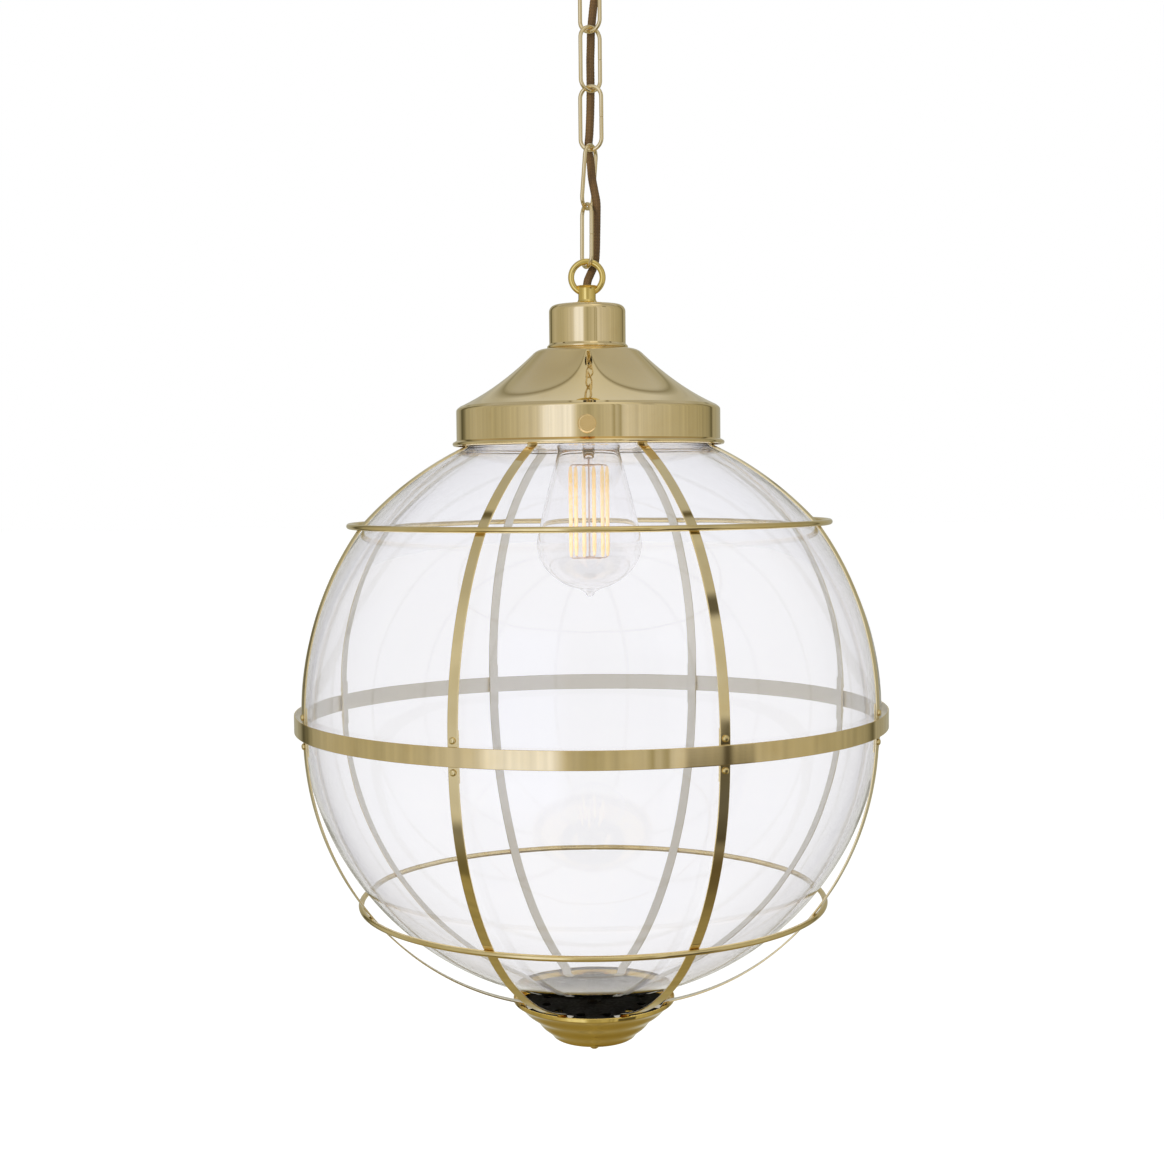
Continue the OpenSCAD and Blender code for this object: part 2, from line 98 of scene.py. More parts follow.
SHEET = 1.0  # wall of the spun brass
LIP_OUT, LIP_RADIUS = 1.1, 1.35  # rolled lip of the canopy
CANOPY_RADIUS = half_width("canopy") - LIP_OUT - LIP_RADIUS
SCREW_Z = 174.6
SCREW_ANGLES = (0, 120, 240)  # from the front, about Z
SCREW_HEAD = half_width("thumb_screw_1")

LOOP_WIRE = 1.85
LOOP_RADIUS = half_width("loop_collar") - LOOP_WIRE
LOOP_NOMINAL = 9.5  # loop radius that the chain is hung from
LOOP_Z = 265.0
LOOP_RISE = 16.3  # loop centre above the collar's foot
FLEX_BORE = 5.1  # hole for the flex in each spun cover
ROSE_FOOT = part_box("rose_loop")[1].z * 1000.0  # underside of the rose
ROSE_RADIUS = half_width("rose_cup")

LINK_WIRE, LINK_BOW = 1.2, 6.8  # wire radius and end bend radius
LINK_SPAN = 37.6
LINK_GAP = 0.25
LINK_OVERLAP = 2 * LINK_WIRE + LINK_GAP
LINK_LEAN = [0.6, 4.5, 0, 0, 0]  # degrees about Y, from the lowest link up
LINK_YAW = [-65, 62, -22, 32, -30]  # degrees about the link's own length

FLEX_RADIUS = 2.5
BRAID_DEPTH = 0.17
BRAID_CARRIERS, BRAID_PITCH = 10, 19.0
FLEX_FOOT = 219.4

GLOBE_RADIUS = half_width("glass_globe")
GLOBE_Z = 5.25
GLOBE_WALL = 2.5
NECK_RADIUS, NECK_FOOT = 75, 165.5

RIB_RADIUS = 178.0
RIB_WIDTH, RIB_SHEET = 6.0, 1.0
LOW_CENTRE = (0, -1.8)  # arc centres of the ribs, as (r, z)
MID_CENTRE = (0.0, 10.0)
MID_RADIUS = math.hypot(RIB_RADIUS, MID_CENTRE[1])
TOP_CENTRE, TOP_RADIUS = (-6.7, -22.4), 204.3
HUB_Z = -177.6
# azimuths of the ribs; the first and last of every four stand 0.9 degrees off
RIB_AZIMUTHS = [22.5 + 45 * i + (0.9, 0.0, 0.0, -0.9)[i % 4] for i in range(8)]
RING_WIRE = 1.7

CUP_RADIUS, CUP_FLOOR, CUP_RIM = 49.5, -201.2, -174.0

BULB_RADIUS, BULB_Z = 32, 104.8
BULB_FOOT = 72.2
STICK_LOW, STICK_HIGH = 96.7, 151.3
STICK_CIRCLE = 11.5
STICK_ANGLES = [math.radians(15 + 60 * i) for i in range(6)]

FLOOR_Z = -1.16  # metres


# ---- outline helpers: points are (r, z) -------------------------------------------
def arc(centre, radius, start, end, steps):
    """Points from start to end, in degrees from +r towards +z."""
    angles = [math.radians(start + (end - start) * i / steps) for i in range(steps + 1)]
    return [(centre[0] + radius * math.cos(a), centre[1] + radius * math.sin(a)) for a in angles]


def inset(line, distance):
    """The line moved to its left, stopped at the axis."""
    out = []
    for i, (r, z) in enumerate(line):
        before, after = line[max(i - 1, 0)], line[min(i + 1, len(line) - 1)]
        dr, dz = after[0] - before[0], after[1] - before[1]
        length = math.hypot(dr, dz)
        out.append((max(r - distance * dz / length, 0.0), z + distance * dr / length))
    return out


def angle_between(a, b):
    """Angle between two unit vectors."""
    return math.acos(max(-1, min(1, float(a @ b))))


def rounded(points, radii, steps=5, closed=True):
    """Rounds the corners of a polyline. radii is one number or one per point."""
    count = len(points)
    if not hasattr(radii, "__len__"):
        radii = [radii] * count
    out = []
    for i, point in enumerate(points):
        if (not closed and i in (0, count - 1)) or radii[i] <= 0:
            out.append(point)
            continue
        corner = np.array(point, float)
        back = np.array(points[i - 1], float) - corner
        ahead = np.array(points[(i + 1) % count], float) - corner
        back_length, ahead_length = np.linalg.norm(back), np.linalg.norm(ahead)
        if back_length < 1e-9 or ahead_length < 1e-9:
            out.append(point)
            continue
        back, ahead = back / back_length, ahead / ahead_length
        opening = angle_between(back, ahead)
        if PI - opening < math.radians(8):
            out.append(point)
            continue
        # the fillet takes at most 46% of either side
        trim = min(radii[i] / math.tan(opening / 2), back_length * 0.46, ahead_length * 0.46)
        radius = trim * math.tan(opening / 2)
        bisector = (back + ahead) / np.linalg.norm(back + ahead)
        centre = corner + bisector * (radius / math.sin(opening / 2))
        start, end = corner + back * trim - centre, corner + ahead * trim - centre
        sweep = math.acos(max(-1, min(1, float(start @ end) / (radius * radius))))
        sign = 1 if start[0] * end[1] - start[1] * end[0] > 0 else -1
        for k in range(steps + 1):
            t = sweep * k / steps * sign
            out.append(
                (
                    centre[0] + start[0] * math.cos(t) - start[1] * math.sin(t),
                    centre[1] + start[0] * math.sin(t) + start[1] * math.cos(t),
                )
            )
    return out


def bend(before, point, after):
    """How far a polyline turns at a point, in radians."""
    arriving, leaving = np.array(point, float) - before, np.array(after, float) - point
    a, b = np.linalg.norm(arriving), np.linalg.norm(leaving)
    if a < 1e-9 or b < 1e-9:
        return 0
    return math.acos(max(-1, min(1, float(arriving @ leaving) / (a * b))))


def held(outline, distance=0.15, least=0.9):
    """Adds points near the ends of a closed outline's straight runs.

    Smooth shading then stays at the fillets. Runs shorter than least are left alone.
    """
    count = len(outline)
    out = []
    for i in range(count):
        a, b = np.array(outline[i], float), np.array(outline[(i + 1) % count], float)
        out.append(tuple(a))
        length = np.linalg.norm(b - a)
        if length < least:
            continue
        along = (b - a) / length
        if bend(outline[i - 1], a, b) > math.radians(4.5):
            out.append(tuple(a + along * distance))
        if bend(a, b, outline[(i + 2) % count]) > math.radians(4.5):
            out.append(tuple(b - along * distance))
    return out


def area(outline):
    return 0.5 * sum(a[0] * b[1] - b[0] * a[1] for a, b in zip([outline[-1]] + outline, outline))


def shell_outline(line, wall, edge):
    """Closed outline of a spun sheet: the outer line, and the wall to its left, edges softened."""
    points = list(line) + inset(line, wall)[::-1]
    radii = [0.0] * len(points)
    for k in (0, len(line) - 1, len(line), len(points) - 1):
        if points[k][0] > 0.5:
            radii[k] = edge
    return held(rounded(points, radii, 4))


# ---- mesh builders: a part is (vertices, faces) --------------------------------------
def make(name, part, look, body=None, node=None, at=CENTRE, sharp=38):
    """Makes an object from a part placed at a point; sharp is in degrees."""
    verts, faces = part
    mesh = bpy.data.meshes.new(name)
    mesh.from_pydata(((np.asarray(verts, float) + at) * 0.001).tolist(), [], faces)
    mesh.validate()
    mesh.polygons.foreach_set("use_smooth", [True] * len(mesh.polygons))
    mesh.set_sharp_from_angle(angle=math.radians(sharp))
    mesh.materials.append(look)
    ob = bpy.data.objects.new(name, mesh)
    bpy.context.scene.collection.objects.link(ob)
    if body:
        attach(ob, body)
    if node:
        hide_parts(node)
    return ob


def lathe(outline, sides=160):
    """Turns a closed (r, z) outline about the Z axis."""
    if area(outline) < 0:
        outline = outline[::-1]
    verts, rings = [], []
    spokes = [(math.cos(2 * PI * k / sides), math.sin(2 * PI * k / sides)) for k in range(sides)]
    for r, z in outline:
        if r < 1e-5:
            rings.append([len(verts)] * sides)
            verts.append((0.0, 0.0, z))
        else:
            rings.append(list(range(len(verts), len(verts) + sides)))
            verts += [(r * c, r * s, z) for c, s in spokes]
    faces = []
    for i, a in enumerate(rings):
        b = rings[(i + 1) % len(rings)]
        a_on_axis, b_on_axis = a[0] == a[-1], b[0] == b[-1]
        if a_on_axis and b_on_axis:
            continue
        for k in range(sides):
            q = (k + 1) % sides
            if a_on_axis:
                faces.append((a[k], b[q], b[k]))
            elif b_on_axis:
                faces.append((a[k], a[q], b[k]))
            else:
                faces.append((a[k], a[q], b[q], b[k]))
    return verts, faces


def plug(radius, low, high, sides):
    """A plain cylinder about Z."""
    return lathe([(0, low), (radius, low), (radius, high), (0, high)], sides)


def join(parts):
    verts, faces = [], []
    for part_verts, part_faces in parts:
        base = len(verts)
        verts += [tuple(v) for v in part_verts]
        faces += [tuple(i + base for i in face) for face in part_faces]
    return verts, faces


def placed(part, matrix):
    verts, faces = part
    m = np.array(matrix, float)
    return (np.asarray(verts, float) @ m[:3, :3].T + m[:3, 3]).tolist(), faces


def rotation(degrees, axis):
    return Matrix.Rotation(math.radians(degrees), 4, axis)


def screw_place(angle, y):
    """Turns a part's Z axis outward at screw height; y is its start before the turn about Z."""
    outward = Matrix.Rotation(PI / 2, 4, "X")
    return rotation(angle, "Z") @ Matrix.Translation((0, y, SCREW_Z)) @ outward


def sweep_faces(verts, rings, sides, capped, inside):
    """Faces of a swept section, turned outward from the point inside the first ring."""
    faces = []
    for i in range(rings - 1 if capped else rings):
        j = (i + 1) % rings
        for k in range(sides):
            q = (k + 1) % sides
            faces.append((i * sides + k, i * sides + q, j * sides + q, j * sides + k))
    if capped:
        faces.append(tuple(range(sides))[::-1])
        faces.append(tuple((rings - 1) * sides + k for k in range(sides)))
    a, b, c = (np.array(verts[f]) for f in faces[0][:3])
    if np.cross(b - a, c - a) @ ((a + c) / 2 - inside) < 0:
        faces = [face[::-1] for face in faces]
    return faces


def around(sides):
    return 2 * PI * np.arange(sides) / sides


def circle(radius, count, height, upright=False):
    """Points of a level circle, or of an upright one that faces the front."""
    points = np.zeros((count, 3))
    points[:, 0] = radius * np.cos(around(count))
    points[:, 2 if upright else 1] = radius * np.sin(around(count))
    return points + np.array([0, 0, height])


def bar(points, radius, sides, closed=True, normal=None):
    """A round bar along points.

    radius is one number, one per point, or one per point and side. normal fixes the section's
    frame for a flat curve; otherwise the frame is carried along.
    """
    points = np.asarray(points, float)
    count = len(points)
    if closed:
        tangents = np.roll(points, -1, 0) - np.roll(points, 1, 0)
    else:
        tangents = np.gradient(points, axis=0)
    tangents /= np.linalg.norm(tangents, axis=1)[:, None]
    if normal is not None:
        normals = np.tile(np.asarray(normal, float), (count, 1))
    else:
        normals = np.zeros((count, 3))
        carried = np.cross(tangents[0], [0, 1, 0])
        carried /= np.linalg.norm(carried)
        for i in range(count):
            carried = carried - tangents[i] * (carried @ tangents[i])
            carried /= np.linalg.norm(carried)
            normals[i] = carried
    binormals = np.cross(tangents, normals)
    radius = np.asarray(radius, float)
    if radius.ndim == 1:
        radius = radius[:, None]
    radius = np.broadcast_to(radius, (count, sides))
    angles = around(sides)[None, :, None]
    section = np.cos(angles) * normals[:, None, :] + np.sin(angles) * binormals[:, None, :]
    verts = (points[:, None, :] + radius[..., None] * section).reshape(-1, 3).tolist()
    return verts, sweep_faces(verts, count, sides, not closed, points[0])


def strap(path, sheet, azimuth, soft=0.26):
    """A flat strap: outer line path (r, z), sheet to its left, azimuth 0 = front."""
    inner = np.array(inset(path, sheet), float)
    path = np.array(path, float)
    half = RIB_WIDTH / 2
    hold = 0.18  # distance of the supports beside the soft corners
    corners = (
        (half - soft, sheet - soft, 0),
        (-(half - soft), sheet - soft, 90),
        (-(half - soft), soft, 180),
        (half - soft, soft, 270),
    )
    section = []  # (across, through the sheet)
    for across, through, start in corners:
        for k in range(4):
            a = math.radians(start + 30 * k)
            section.append((across + soft * math.cos(a), through + soft * math.sin(a)))
        # supports on the two wide faces
        if start == 0:
            section += [(half - soft - hold, sheet), (-(half - soft - hold), sheet)]
        if start == 180:
            section += [(-(half - soft - hold), 0.0), (half - soft - hold, 0.0)]
    a = math.radians(azimuth)
    outward = np.array([math.sin(a), -math.cos(a), 0.0])
    sideways = np.array([math.cos(a), math.sin(a), 0.0])
    verts = []
    for outer_point, inner_point in zip(path, inner):
        step = (inner_point - outer_point) / sheet
        for across, through in section:
            r, z = outer_point + step * through
            verts.append((outward * r + sideways * across + np.array([0, 0, z])).tolist())
    sides = len(section)
    inside = (np.array(verts[0]) + np.array(verts[sides // 2])) / 2
    return verts, sweep_faces(verts, len(path), sides, True, inside)


def cut(ob, part, operation="DIFFERENCE", at=CENTRE):
    """One exact Boolean with a part, applied."""
    cutter = make("cutter", part, ob.data.materials[0], at=at)
    modifier = ob.modifiers.new("cut", "BOOLEAN")
    modifier.operation = operation
    modifier.solver = "EXACT"
    modifier.object = cutter
    depsgraph = bpy.context.evaluated_depsgraph_get()
    mesh = bpy.data.meshes.new_from_object(ob.evaluated_get(depsgraph))
    ob.modifiers.clear()
    old = ob.data
    ob.data = mesh
    bpy.data.meshes.remove(old)
    bpy.data.objects.remove(cutter, do_unlink=True)
    bm = bmesh.new()
    bm.from_mesh(mesh)
    bmesh.ops.remove_doubles(bm, verts=bm.verts, dist=1e-7)
    bmesh.ops.dissolve_degenerate(bm, edges=bm.edges, dist=1e-7)
    bm.to_mesh(mesh)
    bm.free()
    mesh.polygons.foreach_set("use_smooth", [True] * len(mesh.polygons))
    mesh.set_sharp_from_angle(angle=math.radians(35))
    while len(mesh.materials) > 1:
        mesh.materials.pop(index=len(mesh.materials) - 1)
    mesh.polygons.foreach_set("material_index", [0] * len(mesh.polygons))
    mesh.update()


def spline(points, step):
    """Even samples along a centripetal Catmull-Rom curve, and their distances along it."""
    p = np.asarray(points, float)
    p = np.vstack([2 * p[0] - p[1], p, 2 * p[-1] - p[-2]])
    out = []
    for i in range(1, len(p) - 2):
        p0, p1, p2, p3 = p[i - 1 : i + 3]
        t0 = 0.0
        t1 = t0 + np.linalg.norm(p1 - p0) ** 0.5
        t2 = t1 + np.linalg.norm(p2 - p1) ** 0.5
        t3 = t2 + np.linalg.norm(p3 - p2) ** 0.5
        for t in np.linspace(t1, t2, 40, endpoint=False):
            a1 = (t1 - t) / (t1 - t0) * p0 + (t - t0) / (t1 - t0) * p1
            a2 = (t2 - t) / (t2 - t1) * p1 + (t - t1) / (t2 - t1) * p2
            a3 = (t3 - t) / (t3 - t2) * p2 + (t - t2) / (t3 - t2) * p3
            b1 = (t2 - t) / (t2 - t0) * a1 + (t - t0) / (t2 - t0) * a2
            b2 = (t3 - t) / (t3 - t1) * a2 + (t - t1) / (t3 - t1) * a3
            out.append((t2 - t) / (t2 - t1) * b1 + (t - t1) / (t2 - t1) * b2)
    out.append(p[-2])
    out = np.array(out)
    lengths = np.concatenate([[0], np.cumsum(np.linalg.norm(np.diff(out, axis=0), axis=1))])
    wanted = np.arange(0, lengths[-1], step)
    return np.stack([np.interp(wanted, lengths, out[:, k]) for k in range(3)], 1), wanted


# ---- shader helpers ---------------------------------------------------------------------
def srgb(code):
    """A hex colour as linear RGBA."""
    values = [int(code[i : i + 2], 16) / 255 for i in (0, 2, 4)]
    linear = [c / 12.92 if c <= 0.04045 else ((c + 0.055) / 1.055) ** 2.4 for c in values]
    return tuple(linear) + (1.0,)


def scaled(colour, gains):
    """RGBA of a colour with each channel multiplied, at most 1."""
    return tuple(min(c * gain, 1) for c, gain in zip(colour, gains)) + (1,)


class Tree:
    """Builds the node tree of a material or world; values may be numbers or sockets."""

    def __init__(self, owner, output="ShaderNodeOutputMaterial"):
        owner.use_nodes = True
        self.owner = owner
        self.tree = owner.node_tree
        self.tree.nodes.clear()
        self.output = self.add(output)

    def add(self, kind, inputs=None, **settings):
        node = self.tree.nodes.new(kind)
        for key, value in settings.items():
            setattr(node, key, value)
        for key, value in (inputs or {}).items():
            if hasattr(value, "is_output"):
                self.tree.links.new(value, node.inputs[key])
            else:
                node.inputs[key].default_value = value
        return node

    def mix(self, factor, a, b, mode="MIX"):
        inputs = {0: factor, 6: a, 7: b}
        return self.add("ShaderNodeMix", inputs, data_type="RGBA", blend_type=mode).outputs[2]

    def math(self, operation, a, b=0.0):
        return self.add("ShaderNodeMath", {0: a, 1: b}, operation=operation).outputs[0]

    def vector(self, operation, inputs, output="Vector"):
        return self.add("ShaderNodeVectorMath", inputs, operation=operation).outputs[output]

    def ramp(self, value, span, to=(0.0, 1.0), kind="SMOOTHSTEP"):
        """Maps the span of a value to another span, clamped."""
        inputs = {
            "Value": value,
            "From Min": span[0], "From Max": span[1],
            "To Min": to[0], "To Max": to[1],
        }
        return self.add("ShaderNodeMapRange", inputs, interpolation_type=kind).outputs["Result"]

    def noise(self, vector, scale, detail=3.0, rough=0.5):
        inputs = {"Vector": vector, "Scale": scale, "Detail": detail, "Roughness": rough}
        return self.add("ShaderNodeTexNoise", inputs).outputs["Fac"]

    def bump(self, height, strength, distance, **more):
        inputs = {"Strength": strength, "Distance": distance, "Height": height, **more}
        return self.add("ShaderNodeBump", inputs).outputs[0]

    def place(self):
        return self.add("ShaderNodeTexCoord").outputs["Object"]

    def facing(self):
        return self.add("ShaderNodeLayerWeight", {"Blend": 0.5}).outputs["Facing"]

    def finish(self, shader):
        self.tree.links.new(shader.outputs[0], self.output.inputs["Surface"])
        return self.owner


# ---- materials --------------------------------------------------------------------------------
def brass(name, base, deep, rough, turned=False, coat=0.0, wear_and_highlight=0.5, bump=0.12, hammer=0.0, inner=None):
    """Lacquered metal: slow colour drift, tarnished hollows, rubbed edges lightened partly as a painted
    highlight, fine polish lines.

    turned stretches the lines round Z, hammer is the height of soft dents in metres, and inner
    is the colour of faces turned towards CENTRE.
    """
    t = Tree(bpy.data.materials.new(name))
    coords = t.add("ShaderNodeTexCoord")
    place = coords.outputs["Object"]
    slow = t.noise(place, scale=22, detail=3, rough=0.55)
    fine = t.noise(place, scale=420, detail=4, rough=0.6)
    colour = t.mix(t.ramp(slow, span=(0.35, 0.75)), base + (1,), deep + (1,))
    # faint warm bloom where the lacquer is thicker
    cloud = t.noise(place, scale=90, detail=2)
    bloom = t.math("MULTIPLY", t.ramp(cloud, span=(0.55, 0.8)), 0.18)
    colour = t.mix(bloom, colour, scaled(deep, (0.9, 0.82, 0.7)))
    # rubbed edges, brighter and whiter, partly real wear and partly a painted highlight, and darker hollows
    pointiness = t.add("ShaderNodeNewGeometry").outputs["Pointiness"]
    edge = t.ramp(pointiness, span=(0.52, 0.60))
    pit = t.ramp(pointiness, span=(0.40, 0.49), to=(1.0, 0.0))
    rub_and_highlight = t.math("MULTIPLY", edge, t.ramp(fine, span=(0.35, 0.6), to=(0.3, 1.0)))
    rub_highlight_amount = t.math("MULTIPLY", rub_and_highlight, 0.35 * wear_and_highlight)
    # painted highlight: convex edges take a whiter tint where light would catch them, on top of the rubbed wear
    colour = t.mix(rub_highlight_amount, colour, scaled(base, (1.12, 1.12, 1.25)))
    pit_amount = t.math("MULTIPLY", pit, 0.45 * wear_and_highlight)
    colour = t.mix(pit_amount, colour, scaled(deep, (0.5, 0.42, 0.3)))
    inside = None
    if inner:
        # faces turned towards the globe keep a dull, unpolished skin
        offset = t.vector("SUBTRACT", {0: place, 1: tuple((CENTRE * 0.001).tolist())})
        outward = t.vector("NORMALIZE", {0: offset})
        dot = t.vector("DOT_PRODUCT", {0: outward, 1: coords.outputs["Normal"]}, "Value")
        inside = t.ramp(dot, span=(-0.45, -0.15), to=(1.0, 0.0))
        colour = t.mix(t.math("MULTIPLY", inside, 0.85), colour, inner + (1,))
    # polish: even, with slightly duller clouds and rubbed edges
    clouds = t.ramp(slow, span=(0.3, 0.8), to=(rough * 0.8, rough * 1.25))
    roughness = t.math("ADD", clouds, t.math("MULTIPLY", fine, rough * 0.25))
    roughness = t.math("ADD", roughness, t.math("MULTIPLY", rub_and_highlight, 0.08 * wear_and_highlight))
    if inside is not None:
        roughness = t.math("ADD", roughness, t.math("MULTIPLY", inside, 0.3))
    height = fine
    if turned:
        x, y, z = t.add("ShaderNodeSeparateXYZ", {0: place}).outputs
        # lines packed closely along Z and drawn out across it
        stretched = {
            "Z": t.math("MULTIPLY", z, 2600.0),
            "X": t.math("MULTIPLY", x, 12.0),
            "Y": t.math("MULTIPLY", y, 12.0),
        }
        vector = t.add("ShaderNodeCombineXYZ", stretched).outputs[0]
        lines = t.noise(vector, scale=1.0, detail=3, rough=0.7)
        height = t.math("ADD", t.math("MULTIPLY", lines, 0.7), t.math("MULTIPLY", fine, 0.3))
    normal = t.bump(height, strength=bump, distance=0.00012)
    if hammer > 0:
        dents = t.noise(place, scale=55, detail=1.5, rough=0.4)
        normal = t.bump(dents, strength=1.0, distance=hammer, Normal=normal)
    inputs = {
        "Base Color": colour,
        "Metallic": 1.0,
        "Roughness": roughness,
        "Coat Weight": coat,
        "Coat Roughness": 0.02,
        "Coat IOR": 1.5,
        "Normal": normal,
    }
    return t.finish(t.add("ShaderNodeBsdfPrincipled", inputs))


def plastic(name, base, other, rough, spec=0.5, grain=900, coat=0.0):
    """Two close tones (hex) with a fine grain; also used for ceramic and near-black metal."""
    t = Tree(bpy.data.materials.new(name))
    place = t.place()
    slow = t.noise(place, scale=60)
    fine = t.noise(place, scale=grain, rough=0.6)
    inputs = {
        "Base Color": t.mix(t.ramp(slow, span=(0.35, 0.7)), srgb(base), srgb(other)),
        "Roughness": t.ramp(fine, span=(0.3, 0.7), to=(rough * 0.85, rough * 1.15)),
        "Specular IOR Level": spec,
        "Coat Weight": coat,
        "Normal": t.bump(fine, strength=0.3, distance=0.00004),
    }
    return t.finish(t.add("ShaderNodeBsdfPrincipled", inputs))


def glass(name, tint, edge, wave, wave_scale, ior=1.48):
    """Clear glass that deepens towards its edge; lamps reach what it encloses."""
    t = Tree(bpy.data.materials.new(name))
    place = t.place()
    facing = t.ramp(t.facing(), span=(0.35, 1.0), kind="LINEAR")
    facing = t.math("POWER", facing, 1.6)
    cloud = t.ramp(t.noise(place, scale=14, detail=2), span=(0.3, 0.8), to=(0.0, 0.35))
    body = t.mix(cloud, tint + (1,), scaled(tint, (0.985, 0.99, 1)))
    ripple = t.noise(place, scale=wave_scale, detail=1.0, rough=0.4)
    inputs = {
        "Base Color": t.mix(facing, body, edge + (1,)),
        "Transmission Weight": 1.0,
        "IOR": ior,
        "Roughness": 0.0,
        "Normal": t.bump(ripple, strength=1.0, distance=wave),
    }
    clear = t.add("ShaderNodeBsdfPrincipled", inputs)
    shade = t.add("ShaderNodeBsdfTransparent", {0: (0.97, 0.97, 0.97, 1)})
    shadow = t.add("ShaderNodeLightPath").outputs["Is Shadow Ray"]
    shaders = {0: shadow, 1: clear.outputs[0], 2: shade.outputs[0]}
    return t.finish(t.add("ShaderNodeMixShader", shaders))


def fabric(name):
    """Braided rayon sleeve: two strand tones with painted shade between the strands, fine threads, a soft
    sheen.
    """
    t = Tree(bpy.data.materials.new(name))
    place = t.place()
    strand = t.add("ShaderNodeAttribute", attribute_name="strand").outputs["Fac"]
    fine = t.noise(place, scale=1500, detail=4, rough=0.65)
    slow = t.noise(place, scale=60, detail=2)
    # the strand attribute mixes the two strand tones, with the painted shade between strands
    colour = t.mix(strand, srgb("2e1f0c"), srgb("7a5a2e"))
    colour = t.mix(t.math("MULTIPLY", fine, 0.5), colour, srgb("4e3a1d"))
    colour = t.mix(t.ramp(slow, span=(0.35, 0.7), to=(0.0, 0.3)), colour, srgb("46321a"))
    inputs = {
        "Base Color": colour,
        "Roughness": 0.62,
        "Sheen Weight": 0.15,
        "Sheen Roughness": 0.4,
        "Sheen Tint": srgb("c8a878"),
        "Normal": t.bump(fine, strength=0.5, distance=0.0001),
    }
    return t.finish(t.add("ShaderNodeBsdfPrincipled", inputs))


def phosphor(name):
    """Amber sticks brightened by a faint painted glow, deeper in colour towards their edges."""
    t = Tree(bpy.data.materials.new(name))
    fine = t.noise(t.place(), scale=900)
    colour = t.mix(t.ramp(fine, span=(0.3, 0.7)), srgb("fcd596"), srgb("ffe9bd"))
    colour = t.mix(t.ramp(t.facing(), span=(0.45, 0.92)), colour, srgb("e79a3c"))
    inputs = {
        "Base Color": colour,
        "Roughness": 0.5,
        "Emission Color": colour,
        # painted glow: a faint emission that makes the sticks look lit, not light from a lit lamp
        "Emission Strength": 0.92,
        "Normal": t.bump(fine, strength=0.4, distance=0.00006),
    }
    return t.finish(t.add("ShaderNodeBsdfPrincipled", inputs))


DULL_INSIDE = (0.66, 0.65, 0.58)
LOOKS = {
    "gallery": brass(
        "gallery_brass", base=(0.82, 0.66, 0.36), deep=(0.79, 0.62, 0.31),
        rough=0.035, turned=True, coat=0.35, wear_and_highlight=0.5, bump=0.02,
    ),
    # the edge lightening at full strength here paints the bright highlight along the cup's rim
    "cup": brass(
        "cup_brass", base=(0.72, 0.52, 0.13), deep=(0.63, 0.43, 0.08),
        rough=0.06, turned=True, coat=0.4, wear_and_highlight=1.0, bump=0.03,
    ),
    "loop": brass(
        "loop_brass", base=(0.86, 0.68, 0.24), deep=(0.78, 0.57, 0.15),
        rough=0.07, coat=0.4, wear_and_highlight=0.8, bump=0.05,
    ),
    "chain": brass(
        "chain_brass", base=(0.84, 0.70, 0.42), deep=(0.76, 0.60, 0.31),
        rough=0.09, coat=0.25, wear_and_highlight=0.8, bump=0.06,
    ),
    "strap": brass(
        "strap_brass", base=(0.86, 0.72, 0.42), deep=(0.80, 0.64, 0.32),
        rough=0.05, coat=0.3, wear_and_highlight=0.6, bump=0.03, hammer=0.00010, inner=DULL_INSIDE,
    ),
    "band": brass(
        "band_brass", base=(0.82, 0.66, 0.36), deep=(0.76, 0.59, 0.28),
        rough=0.04, turned=True, coat=0.3, wear_and_highlight=0.6, bump=0.03, inner=DULL_INSIDE,
    ),
    "wire": brass(
        "ring_brass", base=(0.81, 0.66, 0.34), deep=(0.74, 0.57, 0.24),
        rough=0.07, coat=0.25, wear_and_highlight=0.6, bump=0.04,
    ),
    "screw": brass(
        "screw_brass", base=(0.97, 0.71, 0.34), deep=(0.93, 0.64, 0.28),
        rough=0.22, coat=0.15, wear_and_highlight=0.4, bump=0.06,
    ),
    "plain": brass(
        "turned_brass", base=(0.74, 0.58, 0.28), deep=(0.64, 0.47, 0.20),
        rough=0.26, turned=True, wear_and_highlight=0.8,
    ),
    "steel": brass(
        "plated_steel_look", base=(0.62, 0.62, 0.60), deep=(0.54, 0.54, 0.53),
        rough=0.32, wear_and_highlight=0.6,
    ),
    "hub": plastic("hub_dark_look", "0e0c07", "080704", rough=0.7, spec=0.03, grain=500),
    "hub_turned": plastic(
        "hub_turned_look", "1c160b", "120e07", rough=0.5, spec=0.15, grain=600
    ),
    "nickel": brass(
        "lamp_cap_look", base=(0.70, 0.67, 0.58), deep=(0.62, 0.58, 0.49),
        rough=0.22, turned=True, wear_and_highlight=0.6,
    ),
    "support": brass(
        "support_wire_look", base=(0.82, 0.68, 0.60), deep=(0.72, 0.57, 0.49), rough=0.28
    ),
    "stem": glass(
        "stem_glass_look", tint=(0.985, 0.965, 0.955), edge=(0.86, 0.83, 0.82),
        wave=0.00003, wave_scale=90, ior=1.12,
    ),
    "black": plastic("holder_black_look", "1c1b1a", "262422", rough=0.38),
    "ceramic": plastic("ceramic_look", "e9e6dd", "dedad0", rough=0.22, coat=0.4),
    "terminal": plastic("terminal_look", "e6e3d8", "dbd7ca", rough=0.5),
    "lamp_black": plastic("lamp_black_look", "121214", "1c1c20", rough=0.18, coat=0.5),
    "globe": glass(
        "globe_glass_look", tint=(0.943, 0.941, 0.960), edge=(0.62, 0.61, 0.65),
        wave=0.00012, wave_scale=26,
    ),
    "bulb": glass(
        "bulb_glass_look", tint=(0.985, 0.98, 0.98), edge=(0.87, 0.86, 0.87),
        wave=0.00004, wave_scale=60,
    ),
    "flex": fabric("flex_braid"),
    "amber": phosphor("filament_look"),
}

